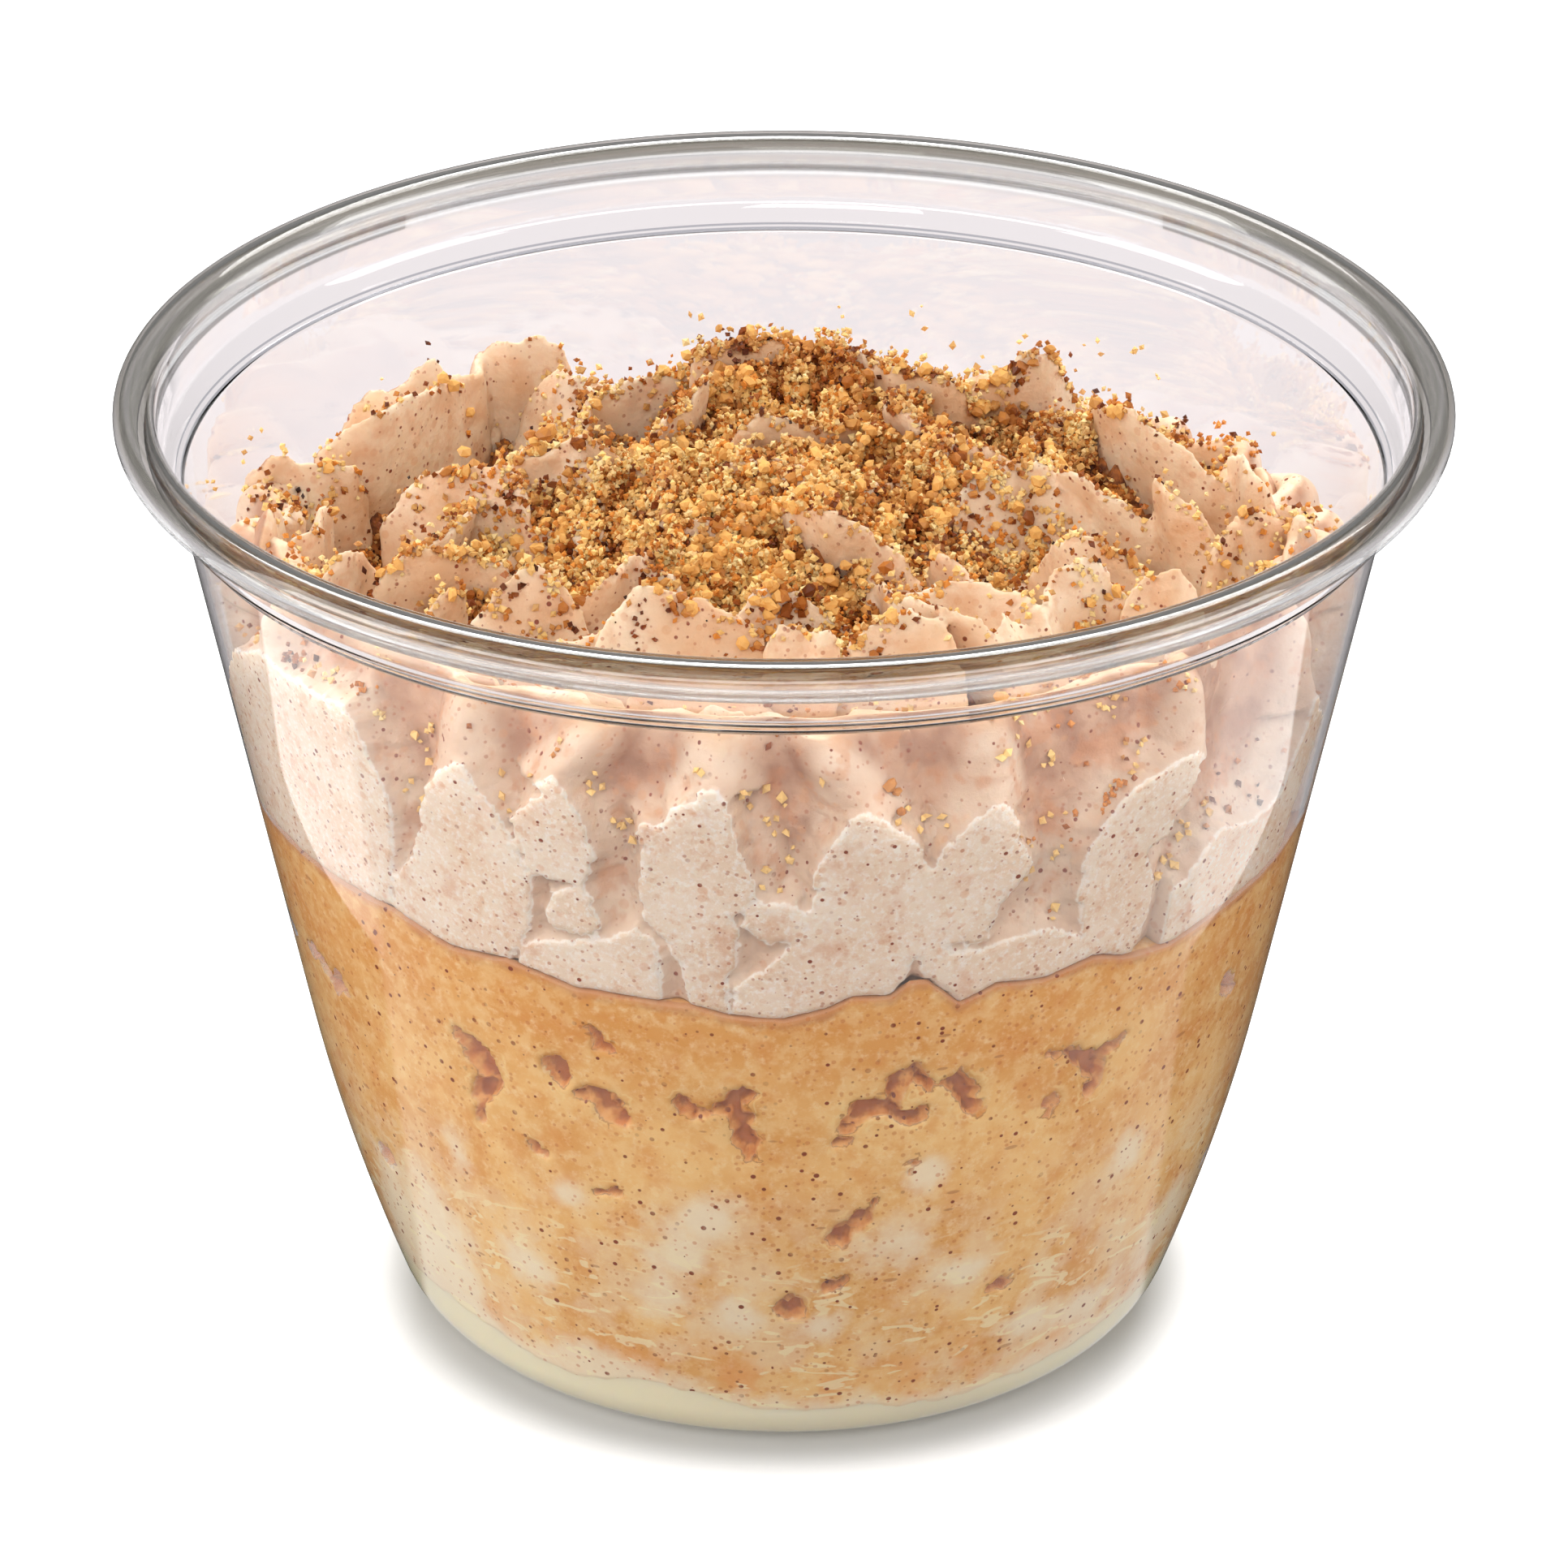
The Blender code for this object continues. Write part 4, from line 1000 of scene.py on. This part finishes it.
# The crumbs' crust is brown, darkened further as painted shade for the creases between the grains.
crust_and_crevice_shade = creamy.mottled(0.7, 3.0, (92, 38, 8), (184, 106, 42), 0.6)
flocks = 0.25 + 0.75 * creamy.noise(2.4, 3.0, 0.6, shift=(6, 3, 3)).ease(0.4, 0.56)
creamy.feed(Base_Color=creamy.coated(
    creamy.mix(stain * 0.95, tone, crust_and_crevice_shade),
    (creamy.specks(1.4, 0.3, 0.12, 0.6, shift=(9, 1, 4)) * 0.35, (222, 160, 112)),
    (creamy.specks(0.6, 0.3, 0.12, 0.6) * 0.6, (190, 120, 88)),
    (creamy.specks(0.85, 0.25, 0.08, 0.6, shift=(3, 2, 1)) * flocks, (146, 72, 50))))
creamy.bump(creamy.noise(0.7, 3.0, 0.6) + 2.0 * stain * creamy.noise(0.9, 2.0, shift=(4, 4, 4)), 0.12)
creamy.dress(coat, rim_cream, top_cream, drift)

# Each kind of grain: how many, the smallest and the largest, and whether they are rounded
KINDS = {
    "golden_crumbs": (24000, 0.42, 0.8, 0),
    "pale_crumbs": (22000, 0.38, 0.7, 0),
    "amber_crumbs": (22000, 0.36, 0.72, 0),
    "large_crumbs": (2600, 0.8, 1.25, 1),
    "toasted_crumbs": (4200, 0.22, 0.6, 0),
}
# Crumbs that fell between the cream and the wall: angle and height
BY_THE_WALL = (
    (11.8, 58.9), (13.6, 57.7), (15.6, 58.3), (25.9, 62.3), (28.6, 60.2), (27.4, 56.1), (29.7, 55.7),
    (28.8, 53.3), (24.7, 52.5), (28.3, 48.4), (27.2, 47.7), (38.7, 60.1), (44.4, 53.5), (46.6, 51.5),
    (44.5, 49.0), (44.5, 47.0), (47.5, 54.3), (49.9, 52.3), (21.4, 62.8), (18.7, 66.1), (-7.2, 63.5),
    (-1.8, 60.7), (-0.1, 59.9), (-3.1, 59.9), (-1.4, 58.4), (-0.6, 57.2), (-1.4, 55.4), (1.0, 55.4),
    (-1.7, 54.0), (-0.4, 52.8), (-19.5, 62.1), (-19.2, 60.4), (-17.0, 57.3), (-15.2, 57.3), (-14.4, 56.1),
    (-3.9, 61.1), (4.9, 62.6), (-40.6, 59.9), (-39.3, 60.7), (-39.0, 59.4), (-38.4, 58.6), (-41.3, 56.7),
    (-40.2, 55.2), (-30.5, 60.2), (-29.0, 58.9), (-27.7, 57.6), (35.1, 53.4), (42.2, 54.4), (41.8, 48.9),
)
ON_THE_BACK_WALL = (
    (161, 58.5), (154, 60.6), (150, 59.2), (145.4, 61.2), (140.5, 62.2), (136.8, 60.3), (120.1, 60.2),
    (112.3, 58.3), (102.6, 60.7), (106.5, 57.8), (-109.2, 62.5), (-112.4, 62.8), (-96.7, 63.9),
    (-171.8, 61.3), (173.6, 61.2), (165.8, 61.6),
)
luck = random.Random(23)


def drop(store, x, y, lift, size):
    """Let a grain fall on the cream or on the crumbs that lie there already."""
    clump = clumped(x, y)
    if luck.random() > 0.35 + 0.65 * clump:
        return
    start = Vector((x, y, ABOVE))
    spot, normal, _, far = cream_skin.ray_cast(start, DOWN)
    other, slope, _, near = drift_skin.ray_cast(start, DOWN)
    if other and (spot is None or near < far):
        spot, normal = other, slope
    if spot and spot[2] > 46.0 and math.hypot(spot[0], spot[1]) < wall_inside(spot[2]) - 0.6:
        if normal[2] > 0.2 or luck.random() < 0.25:
            # A grain's third value is painted shade: low in the creases between clumps and deep in the
            # troughs.
            sunken = float(seen_from_above(trough, np.array([x]), np.array([y]))[0])
            store.append((spot + normal * (lift * (normal[2] > 0.75) + 0.25 * size), size,
                          clump * min(1.1, 1.6 - 0.9 * sunken)))


def heaped(count, small, large):
    """Places and sizes of grains, in clumps where much is strewn."""
    store = []
    while len(store) < count:
        x, y = luck.uniform(-40, 40), luck.uniform(-40, 40)
        here = np.array([x]), np.array([y])
        if luck.random() * 1.5 < float(strewn(*here)[0]) * float(seen_from_above(trough, *here)[0]):
            heap = luck.choice((3, 6, 12, 20))
            for _ in range(heap):
                lift = luck.choice((0.0, 0.2, 0.5, 0.9, 1.2)) if heap > 6 else 0.0
                wide = 0.3 * math.sqrt(heap) * (1.0 - 0.5 * lift)
                drop(store, luck.gauss(x, wide), luck.gauss(y, wide), lift, luck.uniform(small, large))
    return store


def grains_piece(name, store, blank_of, finish):
    """One mesh of many small rough grains."""
    pick()
    blank_of()
    piece = bpy.context.object
    piece.name = piece.data.name = name
    blank = points_of(piece)
    blank /= np.linalg.norm(blank, axis=1).max()
    corners = np.array([face.vertices[:] for face in piece.data.polygons])
    maker = np.random.default_rng(len(store))
    count, each = len(store), len(blank)
    middles = np.array([spot[:] for spot, _, _ in store])
    sizes = np.array([size for _, size, _ in store])
    # Each grain's tone is partly random and partly painted shade.
    shades = 0.4 * maker.uniform(0, 1, count) + 0.6 * np.array([clump for _, _, clump in store])
    turns = np.linalg.qr(maker.normal(size=(count, 3, 3)))[0]
    turns *= np.sign(np.linalg.det(turns))[:, None, None]
    shapes = blank[None] * maker.uniform(0.65, 1.25, (count, each, 1))
    shapes = shapes * maker.uniform(0.7, 1.15, (count, 1, 3))
    spots = np.einsum("nij,nkj->nki", turns, shapes) * (0.5 * sizes)[:, None, None] + middles[:, None]
    faces = (corners[None] + each * np.arange(count)[:, None, None]).reshape(-1, 3)
    piece.data.clear_geometry()
    piece.data.from_pydata((spots.reshape(-1, 3) * MM).tolist(), [], faces.tolist())
    write_mark(piece, "shade", np.repeat(shades, each))
    finish.dress(piece)
    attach(piece, "root")


def round_blank():
    """A grain of twenty faces."""
    bpy.ops.mesh.primitive_ico_sphere_add(subdivisions=1, radius=MM)


def sharp_blank():
    """A grain of eight faces."""
    bpy.ops.mesh.primitive_cone_add(vertices=4, radius1=MM, depth=MM, end_fill_type="NOTHING")
    bpy.ops.object.mode_set(mode="EDIT")
    bpy.ops.mesh.select_all(action="SELECT")
    bpy.ops.mesh.symmetrize(direction="POSITIVE_Z")
    bpy.ops.object.mode_set(mode="OBJECT")


def crumb_finish(name, dark, light, darkest):
    """A crumb's material: from dark to light by its painted shade and tone, and darkest where the painted
    shade is deepest.
    """
    made = Finish(name, Roughness=0.5)
    shade = made.mark("shade")
    tone = made.mix(shade.ease(0.15, 0.9), srgb(*dark), srgb(*light))
    return made.feed(Base_Color=made.coated(tone, (shade.ease(0.3, 0.12), darkest)))


FINISHES = {
    "golden_crumbs": crumb_finish("golden_crumb", (178, 94, 26), (255, 214, 136), (104, 46, 10)),
    "pale_crumbs": crumb_finish("pale_crumb", (204, 126, 50), (255, 228, 164), (128, 62, 18)),
    "amber_crumbs": crumb_finish("amber_crumb", (138, 62, 14), (228, 146, 62), (76, 30, 6)),
    "large_crumbs": crumb_finish("large_crumb", (176, 96, 30), (248, 190, 108), (104, 48, 12)),
    "toasted_crumbs": crumb_finish("toasted_crumb", (64, 26, 10), (142, 70, 26), (44, 18, 8)),
}
for name, (count, small, large, rounded) in KINDS.items():
    store = heaped(count, small, large)
    if name == "golden_crumbs":
        for angle, height in BY_THE_WALL:
            for _ in range(luck.randint(1, 4)):
                out = Vector((*out_from(angle + luck.gauss(0.0, 0.5), 1.0), 0.0))
                start = out * 60.0 + Vector((0.0, 0.0, height + luck.gauss(0.0, 0.35)))
                spot, normal, _, _ = cream_skin.ray_cast(start, -out)
                if spot and math.hypot(spot[0], spot[1]) < wall_inside(spot[2]) - 0.6:
                    store.append((spot + normal * 0.2, luck.uniform(0.45, 0.9), 1.0))
        for angle, height in ON_THE_BACK_WALL:
            for _ in range(luck.randint(1, 3)):
                bearing, z = angle + luck.gauss(0.0, 0.9), height + luck.gauss(0.0, 0.6)
                spot = Vector((*out_from(bearing, wall_inside(z) - 0.35), z))
                store.append((spot, luck.uniform(0.4, 0.7), 0.8))
    grains_piece(name, store, round_blank if rounded else sharp_blank, FINISHES[name])


# The stage: a white table under four soft lamps, one on each side, one behind and one in front. What
# the plastic mirrors of the table and of the room is lit apart, as a studio's flags and cards do it.
TABLE_SIZE = 4.0
pick()
bpy.ops.mesh.primitive_plane_add(size=TABLE_SIZE, location=(0, 0, 0))
table = bpy.context.object
table.name = "table"
white = Finish("white_table", Roughness=0.6, Emission_Strength=1.6)
depth = white.ray("Diffuse Depth")
mirrored = white.ray("Is Glossy Ray") * (1.0 - white.ray("Is Transmission Ray"))
through = white.ray("Is Transmission Ray") * (depth < 0.5)
direct = white.ray("Is Camera Ray")
aside, ahead = white.axis("X").size(), white.axis("Y")
radius = (aside * aside + ahead * ahead) ** 0.5
# Painted light: the table glows, as a painted reflection where the plastic mirrors it, as painted bounce
# light near the cup for rays that have bounced, and to the camera away from the cup so that only a tight
# contact shadow stays.
lit = (ahead - 45.0 * aside.ease(72.0, 88.0)).ease(-5.0, -8.0)
strong = aside.ease(68.0, 80.0) * ahead.ease(-12.0, -5.0)
shine = lit * (0.06 + 0.3 * ahead.ease(-38.0, -5.0) + 0.6 * strong)
bounced = (depth > 0.5) * (0.03 + 0.3 * radius.ease(52.0, 34.0))
light = mirrored * shine + direct * radius.ease(27.5, 34.5) * 0.5 + bounced
glow = white.mix(light, (0.0, 0.0, 0.0), (1.0, 1.0, 1.0))
glow = white.mix(mirrored * radius.ease(118.0, 135.0) * ahead.ease(-40.0, -60.0), glow, (1.6, 1.65, 1.7))
glow = white.mix(through, glow, (0.56, 0.53, 0.54))
base = white.mix(direct, (0.82, 0.77, 0.75), (0.68, 0.68, 0.68))
white.feed(Base_Color=white.mix(mirrored.most(through), base, (0.03, 0.03, 0.03)), Emission_Color=glow)
white.dress(table)
white.material.cycles.emission_sampling = "NONE"


def lamp(name, place, target, wide, tall, power):
    """A soft lamp at a place, turned to a target."""
    bpy.ops.object.light_add(type="AREA", location=place)
    light = bpy.context.object
    light.name = name
    light.data.shape = "RECTANGLE"
    light.data.size, light.data.size_y = wide, tall
    light.data.energy = power
    light.rotation_euler = (Vector(target) - Vector(place)).to_track_quat("-Z", "Y").to_euler()
    return light


lamp("left_softbox", (-0.60, -0.12, 0.30), (0, 0, 0.05), 0.4, 0.4, 1.5)
lamp("right_softbox", (0.60, -0.12, 0.30), (0, 0, 0.05), 0.4, 0.4, 1.1)
lamp("back_softbox", (0.05, 0.42, 0.62), (0, 0, 0.05), 0.6, 0.35, 6.0).visible_glossy = False
lamp("front_softbox", (-0.15, -0.75, 0.75), (0, 0, 0.04), 0.5, 0.4, 3.55).visible_glossy = False

# The room: dim, with a bright band in front of the cup for the plastic to mirror
ROOM, MIRRORED_ROOM, BAND = 0.3, 0.04, 6.0
BAND_LOW, BAND_FULL, BAND_HIGH, BAND_END = 0.16, 0.22, 0.38, 0.45
world = bpy.data.worlds.new("studio")
bpy.context.scene.world = world
world.cycles.sampling_method = "NONE"
room = Nodes(world)
direction = room.node("ShaderNodeTexCoord", {}, {}, "Generated")
back, up = (room.node("ShaderNodeSeparateXYZ", {}, {"Vector": direction}, axis) for axis in "YZ")
up = up * (back < 0.0)
band = ((up - BAND_LOW) / (BAND_FULL - BAND_LOW)).least((BAND_END - up) / (BAND_END - BAND_HIGH))
band = MIRRORED_ROOM + (BAND - MIRRORED_ROOM) * band.least(1.0).most(0.0)
reflected = (room.ray("Is Glossy Ray") - room.ray("Is Transmission Ray")).most(0.0)
brightness = ROOM + (band - ROOM) * reflected
backdrop = room.tree.nodes["Background"]
backdrop.inputs["Color"].default_value = (1.0, 1.0, 1.0, 1.0)
room.tree.links.new(brightness.socket, backdrop.inputs["Strength"])

# The camera looks down on the cup from in front, through a long lens
ELEVATION = math.radians(26.75)
DISTANCE = 0.6044
AIM = 0.04113
LENS = 185.27
bpy.ops.object.camera_add(location=(0, -DISTANCE * math.cos(ELEVATION),
                                    AIM + DISTANCE * math.sin(ELEVATION)),
                          rotation=(math.pi / 2 - ELEVATION, 0, 0))
camera = bpy.context.object
camera.data.sensor_width = 36.0
camera.data.lens = LENS
camera.data.clip_start = 0.01
bpy.context.scene.camera = camera
bpy.context.scene.view_settings.view_transform = "Standard"
# Two bounces keep a render short. The lamps and the room were balanced with them.
bpy.context.scene.cycles.diffuse_bounces = 2
